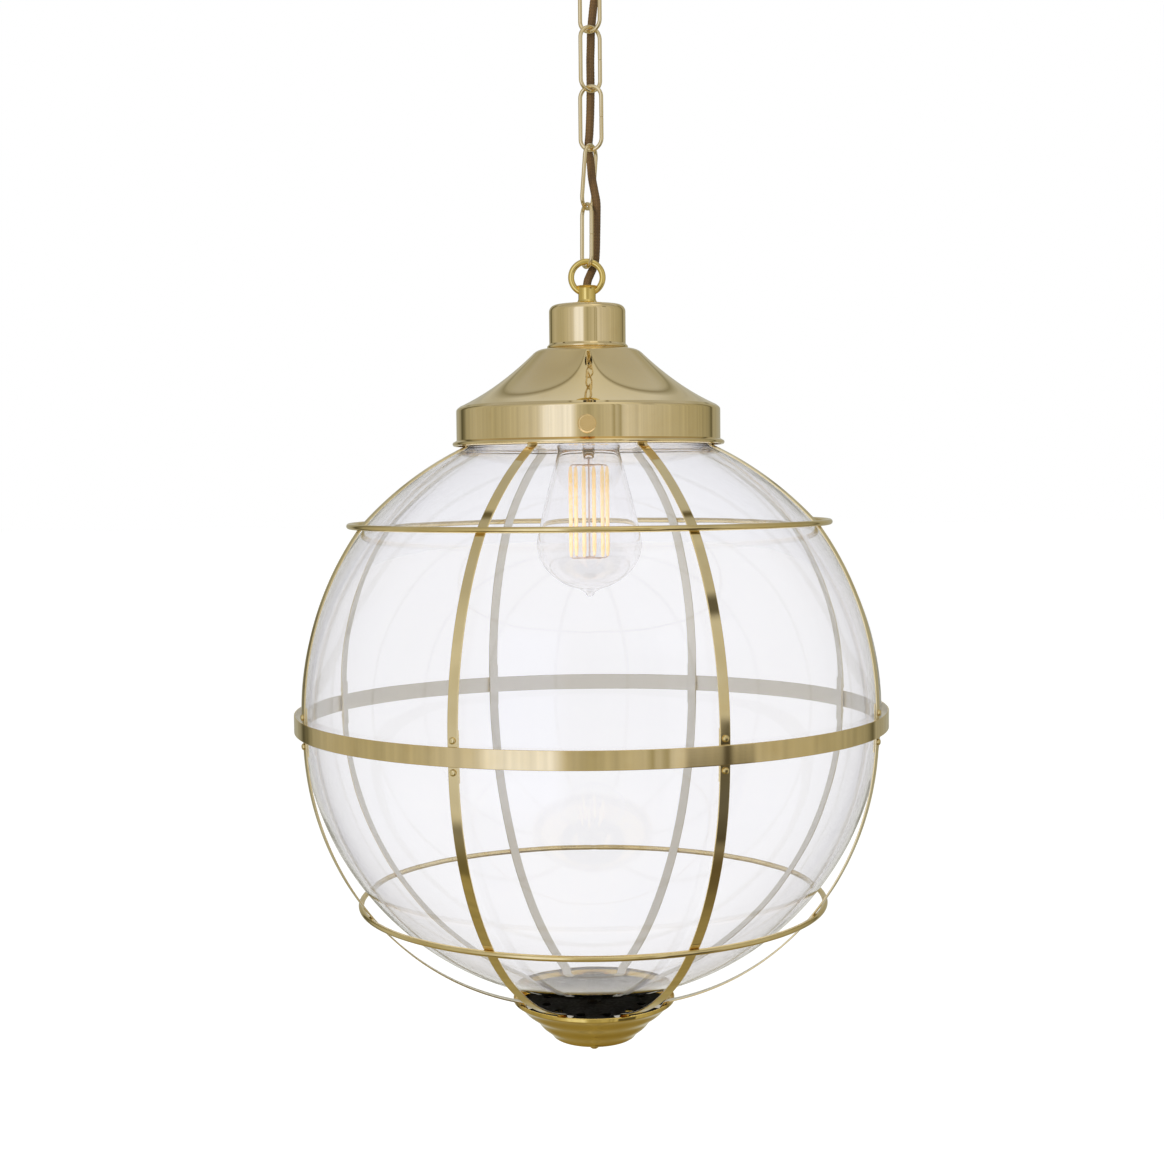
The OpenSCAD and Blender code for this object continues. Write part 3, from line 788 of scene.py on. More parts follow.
# looks for the frame's own nodes that stay in sight
FRAME_LOOKS = {
    "steel": ("ceiling_plate",),
    "plain": (
        "rose_nipple", "rose_nut", "terminal_screws", "stem_nipple", "lock_nut",
        "canopy_washer", "centre_contact", "holder_terminals",
    ),
    "terminal": ("terminal_block",),
    "black": ("holder_cap", "holder_skirt"),
    "ceramic": ("holder_insert",),
    "nickel": ("thread_shell", "lamp_cap", "lamp_contact"),
    "hub": ("hub_plate",),
    "hub_turned": ("finial_stud", "finial_spacer", "hub_nut"),
    "cup": ("finial_nut",),
    "lamp_black": ("lamp_insulator",),
}


# ---- gallery: canopy, cap, screws -----------------------------------------------------
def build_canopy():
    """Domed cover with a rolled lip below and three screw holes in its wall."""
    line = (
        arc((CANOPY_RADIUS + LIP_OUT, 165.3), LIP_RADIUS, -120, 50, 22)
        + [(CANOPY_RADIUS, 167.4), (CANOPY_RADIUS, 184.6)]
        + arc((CANOPY_RADIUS - 2.4, 184.8), 2.4, 0, 50, 9)
        + [(33 + 45 * t, 219.26 - 43.15 * t + 11.45 * t * t) for t in np.linspace(0.985, 0, 44)]
        + arc((26.5, 212.5), 9.4, 48, 90, 12)
        + [(FLEX_BORE, 221.9)]
    )
    part = lathe(shell_outline(line, SHEET, 0.25), 224)
    canopy = make("canopy_spun", part, LOOKS["gallery"], "lantern", "canopy")
    for angle in SCREW_ANGLES:
        cut(canopy, placed(plug(2.2, 0, 8, 40), screw_place(angle, -CANOPY_RADIUS + 4)))


def build_cap():
    """Short drum with a rounded shoulder, on top of the canopy."""
    line = (
        arc((23.25, 223.2), 1.2, -90, 60, 16)
        + [(23.1, 225.2), (23.1, 244.1)]
        + arc((18.9, 244.3), 4.2, 0, 84, 14)
        + [(FLEX_BORE, 248.6)]
    )
    part = lathe(shell_outline(line, SHEET, 0.25), 160)
    make("cap_spun", part, LOOKS["gallery"], "lantern", "cap")


def knurled(part, rim, depth, count):
    """Presses grooves into the points of a turned part that lie near the rim radius."""
    verts, faces = part
    verts = np.array(verts)
    radius = np.hypot(verts[:, 0], verts[:, 1])
    angle = np.arctan2(verts[:, 1], verts[:, 0])
    groove = depth * (0.5 + 0.5 * np.cos(angle * count))
    near_rim = (radius > rim - 0.16) & (radius < rim + 0.1)
    scale = np.where(near_rim, (radius - groove) / np.maximum(radius, 1e-6), 1.0)
    verts[:, :2] *= scale[:, None]
    return verts.tolist(), faces


def build_thumb_screws():
    """Knurled disc heads on plain shanks."""
    wall = CANOPY_RADIUS
    # r, distance from the lantern's axis, fillet radius
    table = [
        (0, 75.12, 0), (1.2, 75.12, 0.2), (2, 76.0, 0.2), (2, wall + 3.2, 0.1),
        (3.1, wall + 3.2, 0.25), (3.1, wall + 4.4, 0.1), (SCREW_HEAD - 0.5, wall + 4.4, 0.2),
        (SCREW_HEAD, wall + 4.9, 0.25), (SCREW_HEAD, wall + 6.3, 0.4),
        (SCREW_HEAD - 0.8, wall + 7.1, 0.4), (0, wall + 7.1, 0),
    ]
    outline = held(rounded([row[:2] for row in table], [row[2] for row in table], 4))
    part = knurled(lathe(outline, 216), rim=SCREW_HEAD, depth=0.045, count=36)
    for i, angle in enumerate(SCREW_ANGLES, 1):
        make(
            "thumb_screw_knurled_%d" % i, placed(part, screw_place(angle, 0)), LOOKS["screw"],
            "screw_%d" % i, "thumb_screw_%d" % i, sharp=50,
        )


def build_bushes():
    """Rings round the three screws, on the canopy's wall."""
    outline = [(2.05, 0), (3.4, 0), (3.4, 2.1), (2.05, 2.1)]
    ring = lathe(held(rounded(outline, [0, 0.05, 0.3, 0.15], 4)), 64)
    parts = [placed(ring, screw_place(angle, -CANOPY_RADIUS - 0.02)) for angle in SCREW_ANGLES]
    make(
        "gallery_bushes_turned", join(parts), LOOKS["screw"], "lantern", "gallery_bushes",
    )


# ---- loops and collars -------------------------------------------------------------------
def build_loop(name, matrix, at, body, node):
    """Cast loop on its turned collar, joined where they meet, with the flex bore."""
    outline = (
        [(0, 0), (7.2, 0), (7.2, 1.0)]
        + arc((8.2, 3.6), 2.9, 245, 180, 10)
        + [(5.3, 7.6)]
        + arc((7.6, 8.9), 2.3, 190, 120, 8)
        + [(6.1, 11.3), (0, 11.3)]
    )
    radii = [0] * len(outline)
    radii[1] = radii[2] = 0.25
    radii[-2] = 0.5
    turned = lathe(held(rounded(outline, radii, 4)), 96)
    loop = make(name, placed(turned, matrix), LOOKS["loop"], at=at)
    ring = bar(circle(LOOP_RADIUS, 128, LOOP_RISE, upright=True), LOOP_WIRE, 28, normal=(0, 1, 0))
    cut(loop, placed(ring, matrix), "UNION", at)
    bore = lathe([(0, -1), (5.05, -1), (5.05, 3.7), (3.3, 3.7), (3.3, 13.5), (0, 13.5)], 64)
    cut(loop, placed(bore, matrix), at=at)
    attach(loop, body)
    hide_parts(node)


def build_loops():
    standing = Matrix.Translation((0, 0, LOOP_Z - LOOP_RISE))
    build_loop("loop_cast", standing, CENTRE, "lantern", "loop_collar")
    # the rose's loop hangs upside down, a quarter turn round
    flipped = Matrix.Rotation(PI, 4, "X") @ Matrix.Rotation(PI / 2, 4, "Z")
    hanging = Matrix.Translation((0, 0, ROSE_FOOT)) @ flipped
    build_loop("rose_loop_cast", hanging, ORIGIN, "ceiling", "rose_loop")


# ---- chain ---------------------------------------------------------------------------------
def link_feet():
    """(x, z) of each link's foot, from the lantern's loop upwards."""
    feet = [(0.0, LOOP_Z + LOOP_NOMINAL - LOOP_WIRE - LINK_WIRE - LINK_GAP)]
    for lean in LINK_LEAN[:-1]:
        x, z = feet[-1]
        a = math.radians(lean)
        feet.append((x + LINK_SPAN * math.sin(a), z + LINK_SPAN * math.cos(a) - LINK_OVERLAP))
    return feet


LINK_FEET = link_feet()
LINK_MIDDLES = [z + LINK_SPAN / 2 for x, z in LINK_FEET]


def link_part():
    """Bent wire link with a butt seam halfway up one straight side."""
    bow, middle, steps = LINK_BOW, LINK_SPAN / 2, 34
    side = np.concatenate(
        [
            np.linspace(bow, middle - 0.5, 12)[:-1],
            np.linspace(middle - 0.5, middle + 0.5, 13),
            np.linspace(middle + 0.5, LINK_SPAN - bow, 12)[1:-1],
        ]
    )
    points = []
    for k in range(steps):
        a = PI + PI * k / steps
        points.append((bow * math.cos(a), 0, bow + bow * math.sin(a)))
    points += [(bow, 0, z) for z in side]
    for k in range(steps):
        a = PI * k / steps
        points.append((bow * math.cos(a), 0, LINK_SPAN - bow + bow * math.sin(a)))
    points += [(-bow, 0, z) for z in side[::-1]]
    x, _, z = np.array(points).T
    seam = np.exp(-(((z - middle) / 0.16) ** 2)) * (x > bow - 0.01)
    # the wire necks a little at the two bends
    neck = np.exp(-((np.minimum(np.abs(z), np.abs(z - LINK_SPAN)) / 2.5) ** 2))
    return bar(points, LINK_WIRE - 0.20 * seam - 0.03 * neck, 22, normal=(0, 1, 0))


def build_chain():
    for i, ((x, z), lean, yaw) in enumerate(zip(LINK_FEET, LINK_LEAN, LINK_YAW), 1):
        matrix = Matrix.Translation((x, 0, z)) @ rotation(lean, "Y") @ rotation(yaw, "Z")
        make(
            "link_bent_%d" % i, placed(link_part(), matrix), LOOKS["chain"], "link_%d" % i,
            "chain_link_%d" % i, sharp=60,
        )


# ---- flex: one centre line through the chain, cut halfway up each link ------------------------
# x from the hanger, y, z
FLEX_UPPER = [
    (0, 0, 508.5), (0, 0, 490), (0, 0, 470), (0, 0, 461), (0.5, 0.3, 457), (2.7, 1.6, 451.6),
    (4.3, 2.8, 446.8), (4.2, 3.5, 440), (2.6, 4.0, 429.6), (1.3, 4.6, 419), (0.6, 4.95, 412),
    (0.3, 4.3, 403), (0, 3.7, 394.6), (0, 4.2, 386), (0, 4.7, 377.2), (-0.2, 4.2, 368),
    (-0.5, 3.9, 359.7), (-1.0, 4.3, 351), (-1.65, 4.95, 342.6),
]
# x from the lantern's axis, y, z
FLEX_LOWER = [
    (2.9, 3.6, 334.2), (3.6, 1.4, 325), (5.0, -0.9, 316.5), (6.2, -0.7, 309.5),
    (6.2, 0.4, 302), (5.9, 0.8, 290), (5.6, 1.4, 281), (5.1, 3.95, 275.5), (4.1, 4.6, 271.8),
    (2.3, 3.2, 267.6), (0.6, 1.0, 263.4), (0, 0.1, 260), (0, 0, 255), (0, 0, 240),
    (0, 0, FLEX_FOOT),
]
FLEX_LINE, FLEX_LENGTHS = spline([(HANGER_X + x, y, z) for x, y, z in FLEX_UPPER] + FLEX_LOWER, 0.26)


def braid(angles, lengths):
    """Radius and strand tones of a two-way braid, per point and side, with painted shade in the dips between
    strands.
    """
    turns = angles[None, :] / (2 * PI)
    climb = lengths[:, None] / BRAID_PITCH
    right, left = (turns + climb) * BRAID_CARRIERS, (turns - climb) * BRAID_CARRIERS
    i, j = np.floor(right), np.floor(left)
    x, y = 2 * (right - i) - 1, 2 * (left - j) - 1  # across each strand, -1 to 1
    first = (i + j) % 2 == 0
    over = np.where(
        first,
        np.sqrt(1 - 0.92 * x * x) * (1 - 0.25 * y * y),
        np.sqrt(1 - 0.92 * y * y) * (1 - 0.25 * x * x),
    )
    # crowns lighter, the sides where a strand dips under darker: painted shade between the strands; the two
    # groups keep two strand tones
    tone_and_shade = np.where(first, 0.5 + 0.35 * over, 0.25 + 0.35 * over)
    return FLEX_RADIUS - BRAID_DEPTH + BRAID_DEPTH * over, tone_and_shade


def flex_piece(name, top, foot, nodes):
    """A length of flex that passes from one body to the next across a hinge height."""
    height = FLEX_LINE[:, 2]
    kept = (height <= top + 1e-6) & (height >= foot - 0.3)
    sides = 60
    radius, tone_and_shade = braid(around(sides), FLEX_LENGTHS[kept])
    ob = make(name, bar(FLEX_LINE[kept], radius, sides, closed=False), LOOKS["flex"], sharp=75)
    strand = ob.data.attributes.new("strand", "FLOAT", "POINT")
    strand.data.foreach_set("value", tone_and_shade.astype(np.float32).ravel())
    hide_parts(*nodes)
    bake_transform(ob)


def build_flex():
    middles = LINK_MIDDLES
    flex_piece(
        "flex_braid_rose", 509.0, middles[4],
        nodes=["flex_rose"],
    )
    for i in (5, 4, 3, 2):
        flex_piece(
            "flex_braid_%d" % i, middles[i - 1], middles[i - 2],
            nodes=["flex_%d" % i],
        )
    flex_piece(
        "flex_braid_1", middles[0], FLEX_FOOT,
        nodes=["flex_1", "flex_lamp"],
    )


# ---- ceiling rose ------------------------------------------------------------------------------
def build_rose():
    """Spun cup that widens up to the ceiling."""
    drop = -ROSE_FOOT
    flare = [
        (22.7 + (ROSE_RADIUS - 24.2) * t, ROSE_FOOT + 3 + (drop - 6) * t**1.6)
        for t in np.linspace(0.05, 1, 40)
    ]
    line = (
        [(FLEX_BORE, ROSE_FOOT), (16, ROSE_FOOT)]
        + arc((16, ROSE_FOOT + 9), 9, 270, 318, 12)
        + flare
        + arc((ROSE_RADIUS - 1.5, -1.6), 1.5, -80, 80, 16)
    )
    part = lathe(shell_outline(line, SHEET, 0.25), 160)
    make("rose_spun", part, LOOKS["gallery"], "ceiling", "rose_cup", at=ORIGIN)


# ---- globe ----------------------------------------------------------------------------------------
def build_globe():
    """Blown sphere with a straight neck and a beaded rim."""
    sphere = arc((0, GLOBE_Z), GLOBE_RADIUS, -90, 64.6, 150)
    sphere[0] = (0.0, GLOBE_Z - GLOBE_RADIUS)
    neck = [(NECK_RADIUS, NECK_FOOT), (NECK_RADIUS, 180.2)] + arc((75.2, 182), 1.6, -80, 80, 10)
    line = sphere + neck
    inner = inset(line, GLOBE_WALL)[::-1]
    inner[-1] = (0.0, line[0][1] + GLOBE_WALL)
    outline = line + inner
    radii = [0.0] * len(outline)
    radii[len(line) - 1] = radii[len(line)] = 0.5
    foot = len(sphere)  # index of the neck's foot on the outer line
    radii[foot - 1] = 2.2
    radii[foot] = 3.5
    radii[len(outline) - 1 - foot] = 5.0
    part = lathe(held(rounded(outline, radii, 8), 0.4, 4.0), 288)
    make("globe_blown", part, LOOKS["globe"], "lantern", "glass_globe", sharp=60)


# ---- cage --------------------------------------------------------------------------------------------
def angle_at(z, centre, radius):
    """Degrees along an arc at which it reaches height z."""
    return math.degrees(math.asin((z - centre[1]) / radius))


def arc_between(centre, radius, start_z, end_z, steps):
    start, end = angle_at(start_z, centre, radius), angle_at(end_z, centre, radius)
    return arc(centre, radius, start, end, steps)


def build_straps(name, path, node, sheet=RIB_SHEET, soft=0.26):
    parts = [strap(path, sheet, azimuth, soft) for azimuth in RIB_AZIMUTHS]
    make(name, join(parts), LOOKS["strap"], "lantern", node)


def build_ribs():
    """Upper and lower ribs, and the tabs that lie inside their meeting ends."""
    top_start = math.degrees(math.acos((79 - TOP_CENTRE[0]) / TOP_RADIUS))
    top_end = angle_at(117.5, TOP_CENTRE, TOP_RADIUS)
    upper = (
        [(77.4, 171), (77.4, 164.9)]
        + arc(TOP_CENTRE, TOP_RADIUS, top_start, top_end, 44)
        + arc_between(MID_CENTRE, MID_RADIUS, 117.2, 0.6, 60)
    )
    upper = rounded(upper, [0, 0.8] + [0] * (len(upper) - 2), 5, False)[::-1]
    low_start = -math.degrees(math.acos(47.6 / RIB_RADIUS))
    low_end = angle_at(-0.6, LOW_CENTRE, RIB_RADIUS)
    foot_z = HUB_Z + 0.03
    lower = [(37, foot_z), (44.6, foot_z)] + arc(LOW_CENTRE, RIB_RADIUS, low_start, low_end, 110)
    lower = rounded(lower, [0, 1.0] + [0] * (len(lower) - 2), 5, False)
    build_straps("upper_ribs_rolled", upper, "upper_ribs")
    build_straps("lower_ribs_rolled", lower, "lower_ribs")
    depth = RIB_SHEET + 0.05
    tab = arc_between(LOW_CENTRE, RIB_RADIUS - depth, -14, -0.8, 8)
    tab += arc_between(MID_CENTRE, MID_RADIUS - depth, 0.8, 14, 8)
    build_straps("joining_tabs_cut", tab, "joining_tabs", sheet=0.8, soft=0.2)


def band_part(inner, outer, low, high, soft, steps):
    """An upright band with softened edges."""
    outline = [(inner, low), (outer, low), (outer, high), (inner, high)]
    return held(rounded(outline, soft, steps), 0.2)


def build_middle_band():
    outer, half = half_width("middle_band"), half_height("middle_band")
    part = lathe(band_part(outer - 1, outer, -half, half, 0.3, 5), 288)
    make("middle_band_rolled", part, LOOKS["band"], "lantern", "middle_band")


def build_rings():
    """Two round-wire rings, each with a brazed butt joint at the back."""
    for node in ("upper_ring", "lower_ring"):
        height = centre_of(node)[2] - CENTRE[2]
        points = circle(half_width(node) - RING_WIRE, 288, height)
        azimuth = np.arctan2(points[:, 0], -points[:, 1])
        # distance from the joint, taken at a nominal radius of 140
        distance = np.abs(np.abs(azimuth) - PI) * 140
        radius = RING_WIRE - 0.22 * np.exp(-((distance / 0.6) ** 2))
        part = bar(points, radius, 20, normal=(0, 0, 1))
        make(node + "_drawn", part, LOOKS["wire"], "lantern", node, sharp=60)


def build_hoop():
    """Hoop inside the gallery, bored for the three screws."""
    part = lathe(band_part(77.5, 78.5, 165.6, 181.6, 0.25, 4), 224)
    hoop = make("cage_hoop_rolled", part, LOOKS["band"], "lantern", "cage_hoop")
    for angle in SCREW_ANGLES:
        cut(hoop, placed(plug(2.4, 0, 12, 40), screw_place(angle, -70)))


def build_rivets():
    """Domed rivets on each rib, one above and one below the middle band's centre."""
    outline = [(0, 0), (1.9, 0), (1.9, 0.3)] + arc((0.7, 0.3), 1.2, 12, 90, 8) + [(0, 1.5)]
    radii = [0, 0.12, 0.1] + [0] * (len(outline) - 3)
    rivet = lathe(rounded(outline, radii, 3), 28)
    rows = ((8.6, MID_CENTRE, MID_RADIUS), (-8.2, LOW_CENTRE, RIB_RADIUS))
    parts = []
    for azimuth in RIB_AZIMUTHS:
        for z, centre, radius in rows:
            r = centre[0] + math.sqrt(radius * radius - (z - centre[1]) ** 2)
            tilt = PI / 2 + math.asin((centre[1] - z) / radius)
            matrix = (
                rotation(azimuth - 90, "Z")
                @ Matrix.Translation((r, 0, z))
                @ Matrix.Rotation(tilt, 4, "Y")
                @ Matrix.Translation((0, 0, 0.03))
            )
            parts.append(placed(rivet, matrix))
    make("cage_rivets_domed", join(parts), LOOKS["wire"], "lantern", "cage_rivets")


# ---- finial ---------------------------------------------------------------------------------------------
def build_finial_cup():
    """Spun cup with a rounded floor, a rippled cone wall and a bored floor disc."""
    floor_curve = [
        (24.8 * math.cos(math.radians(a)), -198.5 - 2.7 * math.sin(math.radians(a)))
        for a in np.linspace(66.5, 2, 26)
    ]
    wall = []
    for t in np.linspace(0.01, 1, 110):
        ripple = 0.45 * math.sin(math.radians(900 * t))
        wall.append((25.3 + 23.5 * t - 0.8 * math.sin(PI * t) - ripple, -198.5 + 21.6 * t))
    line = (
        [(7, CUP_FLOOR), (10, CUP_FLOOR + 0.05)]
        + floor_curve
        + wall
        + [(CUP_RADIUS, -176.2), (CUP_RADIUS + 0.1, CUP_RIM - 0.8)]
        + arc((CUP_RADIUS - 0.6, CUP_RIM - 0.7), 0.7, 0, 90, 8)
    )
    cup = make("finial_cup_spun", lathe(shell_outline(line, SHEET, 0.1), 192), LOOKS["cup"])
    top = CUP_FLOOR + 1.4
    disc = [(0, CUP_FLOOR), (9, CUP_FLOOR), (9, top), (0, top)]
    cut(cup, lathe(held(rounded(disc, [0, 0, 0.3, 0], 4)), 96), "UNION")
    cut(cup, plug(2.6, CUP_FLOOR - 2, CUP_FLOOR + 4, 48))
    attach(cup, "lantern")
    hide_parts("finial_cup")


# ---- lamp --------------------------------------------------------------------------------------------------
def build_bulb():
    """Blown bulb: pointed tip below, round belly, long taper up to a straight neck."""
    belly = []
    for angle in np.linspace(14, 90, 40):
        a = math.radians(angle)
        belly.append((BULB_RADIUS * math.sin(a) ** 1.06, BULB_Z - 28.6 * math.cos(a)))
    taper = [
        (BULB_RADIUS - 18.7 * t**1.3 - 1.2 * math.sin(PI * t) * (1 - t), BULB_Z + 73 * t)
        for t in np.linspace(0.025, 1, 60)
    ]
    tip = [(0, BULB_FOOT), (1.6, 72.6)] + arc((6.2, 71.6), 4.4, 160, 118, 8)
    line = tip + belly + taper + [(13.2, 182), (13.2, 187.9)]
    wall = 0.8
    inner = inset(line, wall)[::-1]
    inner[-1] = (0.0, BULB_FOOT + wall)
    outline = line + inner
    radii = [0.0] * len(outline)
    radii[len(line) - 1] = radii[len(line)] = 0.2
    part = lathe(rounded(outline, radii, 4), 128)
    make("bulb_blown", part, LOOKS["bulb"], "lamp", "lamp_glass", sharp=70)


def build_stem():
    """Glass stem that flares up into the bulb's neck."""
    outline = (
        [(0, 156), (3, 156), (4, 162), (4, 172)]
        + arc((9, 176), 5, 200, 110, 12)
        + [(11.4, 184), (11.4, 187), (0, 187)]
    )
    radii = [0, 0.8, 2, 2] + [0] * 13 + [0.3, 0.3, 0]
    part = lathe(held(rounded(outline, radii, 5)), 72)
    make("stem_pressed", part, LOOKS["stem"], "lamp", "lamp_stem", sharp=60)


def build_filaments():
    """Six phosphor sticks with small end ferrules."""
    z = np.linspace(STICK_LOW, STICK_HIGH, 46)
    from_end = np.minimum(z - STICK_LOW, STICK_HIGH - z)
    radius = np.where(from_end < 2.6, 0.9, 1.12) * (1 + 0.03 * np.sin(z * 5.2))
    radius = radius * np.clip(0.55 + from_end / 0.6, 0, 1)
    parts = []
    for a in STICK_ANGLES:
        x, y = STICK_CIRCLE * math.cos(a), STICK_CIRCLE * math.sin(a)
        points = np.stack([np.full(46, x), np.full(46, y), z], 1)
        parts.append(bar(points, radius, 14, False, (math.cos(a), math.sin(a), 0)))
    make(
        "filament_sticks", join(parts), LOOKS["amber"], "lamp", "filaments",
        sharp=60,
    )


def build_filament_frame():
    """Centre post with a disc near each end, and bent wires out to the sticks."""
    parts = []
    for low, high in ((151.4, 152.6), (95.2, 96.6)):
        outline = [(0, low), (3.2, low), (3.2, high), (0, high)]
        parts.append(lathe(rounded(outline, [0, 0.3, 0.3, 0], 3), 32))
    post = np.stack([np.zeros(30), np.zeros(30), np.linspace(95.4, 155.8, 30)], 1)
    parts.append(bar(post, 0.55, 12, False, (1, 0, 0)))
    for a in STICK_ANGLES:
        for z, turn in ((152.0, -0.5), (95.9, 0.5)):
            # r, z along the wire
            path = [(2.6, z), (6, z - turn * 0.5), (10.6, z), (STICK_CIRCLE, z + turn * 1.6)]
            points = [(r * math.cos(a), r * math.sin(a), height) for r, height in path]
            parts.append(bar(spline(points, 0.5)[0], 0.36, 10, False))
    make(
        "filament_frame", join(parts), LOOKS["support"], "lamp", "filament_supports",
        sharp=60,
    )


def finish_frame_nodes():
    for look, nodes in FRAME_LOOKS.items():
        for node in nodes:
            ob = NODES[node]
            if ob.material_slots:
                for slot in ob.material_slots:
                    slot.material = LOOKS[look]
            else:
                ob.data.materials.append(LOOKS[look])


# ---- stage: pale floor, soft studio light, in metres ---------------------------------------------------------
def build_floor():
    t = Tree(bpy.data.materials.new("pale_floor"))
    drift = t.noise(t.place(), scale=6, detail=2)
    inputs = {
        "Base Color": t.mix(drift, (0.50, 0.50, 0.503, 1), (0.53, 0.53, 0.53, 1)),
        "Emission Color": (1.0, 1.0, 1.0, 1),
        "Emission Strength": 0.74,
        "Roughness": 0.9,
        "Specular IOR Level": 0.1,
    }
    material = t.finish(t.add("ShaderNodeBsdfPrincipled", inputs))
    corners = [(x, y, FLOOR_Z) for x, y in ((-30, -30), (30, -30), (30, 30), (-30, 30))]
    mesh = bpy.data.meshes.new("floor")
    mesh.from_pydata(corners, [], [(0, 1, 2, 3)])
    mesh.materials.append(material)
    floor = bpy.data.objects.new("floor", mesh)
    bpy.context.scene.collection.objects.link(floor)
    floor.visible_glossy = False


# Brightness by direction. Azimuth is in degrees, 0 at the front and + towards +X.
# azimuth, brightness
SIDE_LIGHT = [
    (-180, 0.50), (-164, 0.50), (-162, 0.26), (-160, 0.44), (-147, 0.34), (-142, 0.10),
    (-136, 0.18), (-130, 0.40), (-114, 0.53), (-87, 0.48), (-65, 0.57), (-44, 0.70),
    (-35, 1.02), (-14, 1.05), (-9, 0.62), (0, 0.46), (20, 0.63), (22.5, 0.36), (24.5, 0.66),
    (28, 0.38), (30, 0.72), (81, 0.54), (114, 0.43), (128, 0.34), (134, 0.12), (138, 0.40),
    (145, 0.40), (160, 0.44), (162, 0.26), (164, 0.50), (180, 0.50),
]
# brightness, green gain, blue gain: bright soft boxes are cool, the room between them warm
WARMTH = [
    (0.10, 0.93, 0.55), (0.40, 0.96, 0.72), (0.62, 0.98, 0.90), (0.80, 1.03, 1.20),
    (1.05, 1.08, 1.42),
]
# azimuth, colour
OVERHEAD_LIGHT = [
    (-180, (0.72, 0.72, 0.69)), (-164, (0.62, 0.62, 0.59)), (-162, (0.24, 0.22, 0.15)),
    (-160, (0.50, 0.50, 0.47)), (-145, (0.47, 0.465, 0.44)), (-130, (0.50, 0.495, 0.46)),
    (-119, (0.56, 0.555, 0.52)), (-117, (0.10, 0.085, 0.045)), (-114, (0.13, 0.11, 0.06)),
    (-112, (0.46, 0.46, 0.44)), (-60, (0.52, 0.515, 0.49)), (-24, (0.72, 0.71, 0.68)),
    (0, (0.76, 0.75, 0.71)), (24, (0.74, 0.73, 0.70)), (60, (0.54, 0.535, 0.51)),
    (111, (0.46, 0.46, 0.44)), (113, (0.13, 0.11, 0.06)), (116, (0.10, 0.085, 0.045)),
    (118, (0.52, 0.515, 0.49)), (145, (0.50, 0.50, 0.48)), (160, (0.54, 0.54, 0.51)),
    (162, (0.24, 0.22, 0.15)), (164, (0.66, 0.66, 0.63)), (180, (0.72, 0.72, 0.69)),
]
LOW_LIGHT = [
    (-180, (0.37, 0.315, 0.15)), (-90, (0.33, 0.28, 0.13)), (-30, (0.35, 0.30, 0.14)),
    (18, (0.31, 0.265, 0.12)), (36, (0.10, 0.08, 0.04)), (66, (0.13, 0.10, 0.05)),
    (90, (0.30, 0.25, 0.12)), (180, (0.37, 0.315, 0.15)),
]
# dark flags: azimuth range, elevation range, strength
FLAGS = [
    ((52, 66), (31, 38), 0.85), ((49.5, 53), (-12, -3), 0.85),
    ((35, 63), (-38, -9), 0.86), ((-66, -40), (-60, -30), 0.55),
]


def warmed(value):
    brightness, green, blue = zip(*WARMTH)
    gains = (float(np.interp(value, brightness, column)) for column in (green, blue))
    return (value, *(value * gain for gain in gains))


def azimuth_ramp(tree, factor, table):
    node = tree.add("ShaderNodeValToRGB", {0: factor})
    elements = node.color_ramp.elements
    while len(elements) > 1:
        elements.remove(elements[-1])
    for i, (azimuth, colour) in enumerate(table):
        position = (azimuth + 180) / 360
        element = elements.new(position) if i else elements[0]
        element.position = position
        element.color = (*colour, 1)
    return node.outputs[0]


def radians(low, high):
    return math.radians(low), math.radians(high)


def window(tree, value, low, high, soft):
    """1 between two angles in degrees, 0 outside, with soft ends."""
    rise = tree.ramp(value, span=radians(low - soft, low + soft))
    return tree.math("SUBTRACT", rise, tree.ramp(value, span=radians(high - soft, high + soft)))


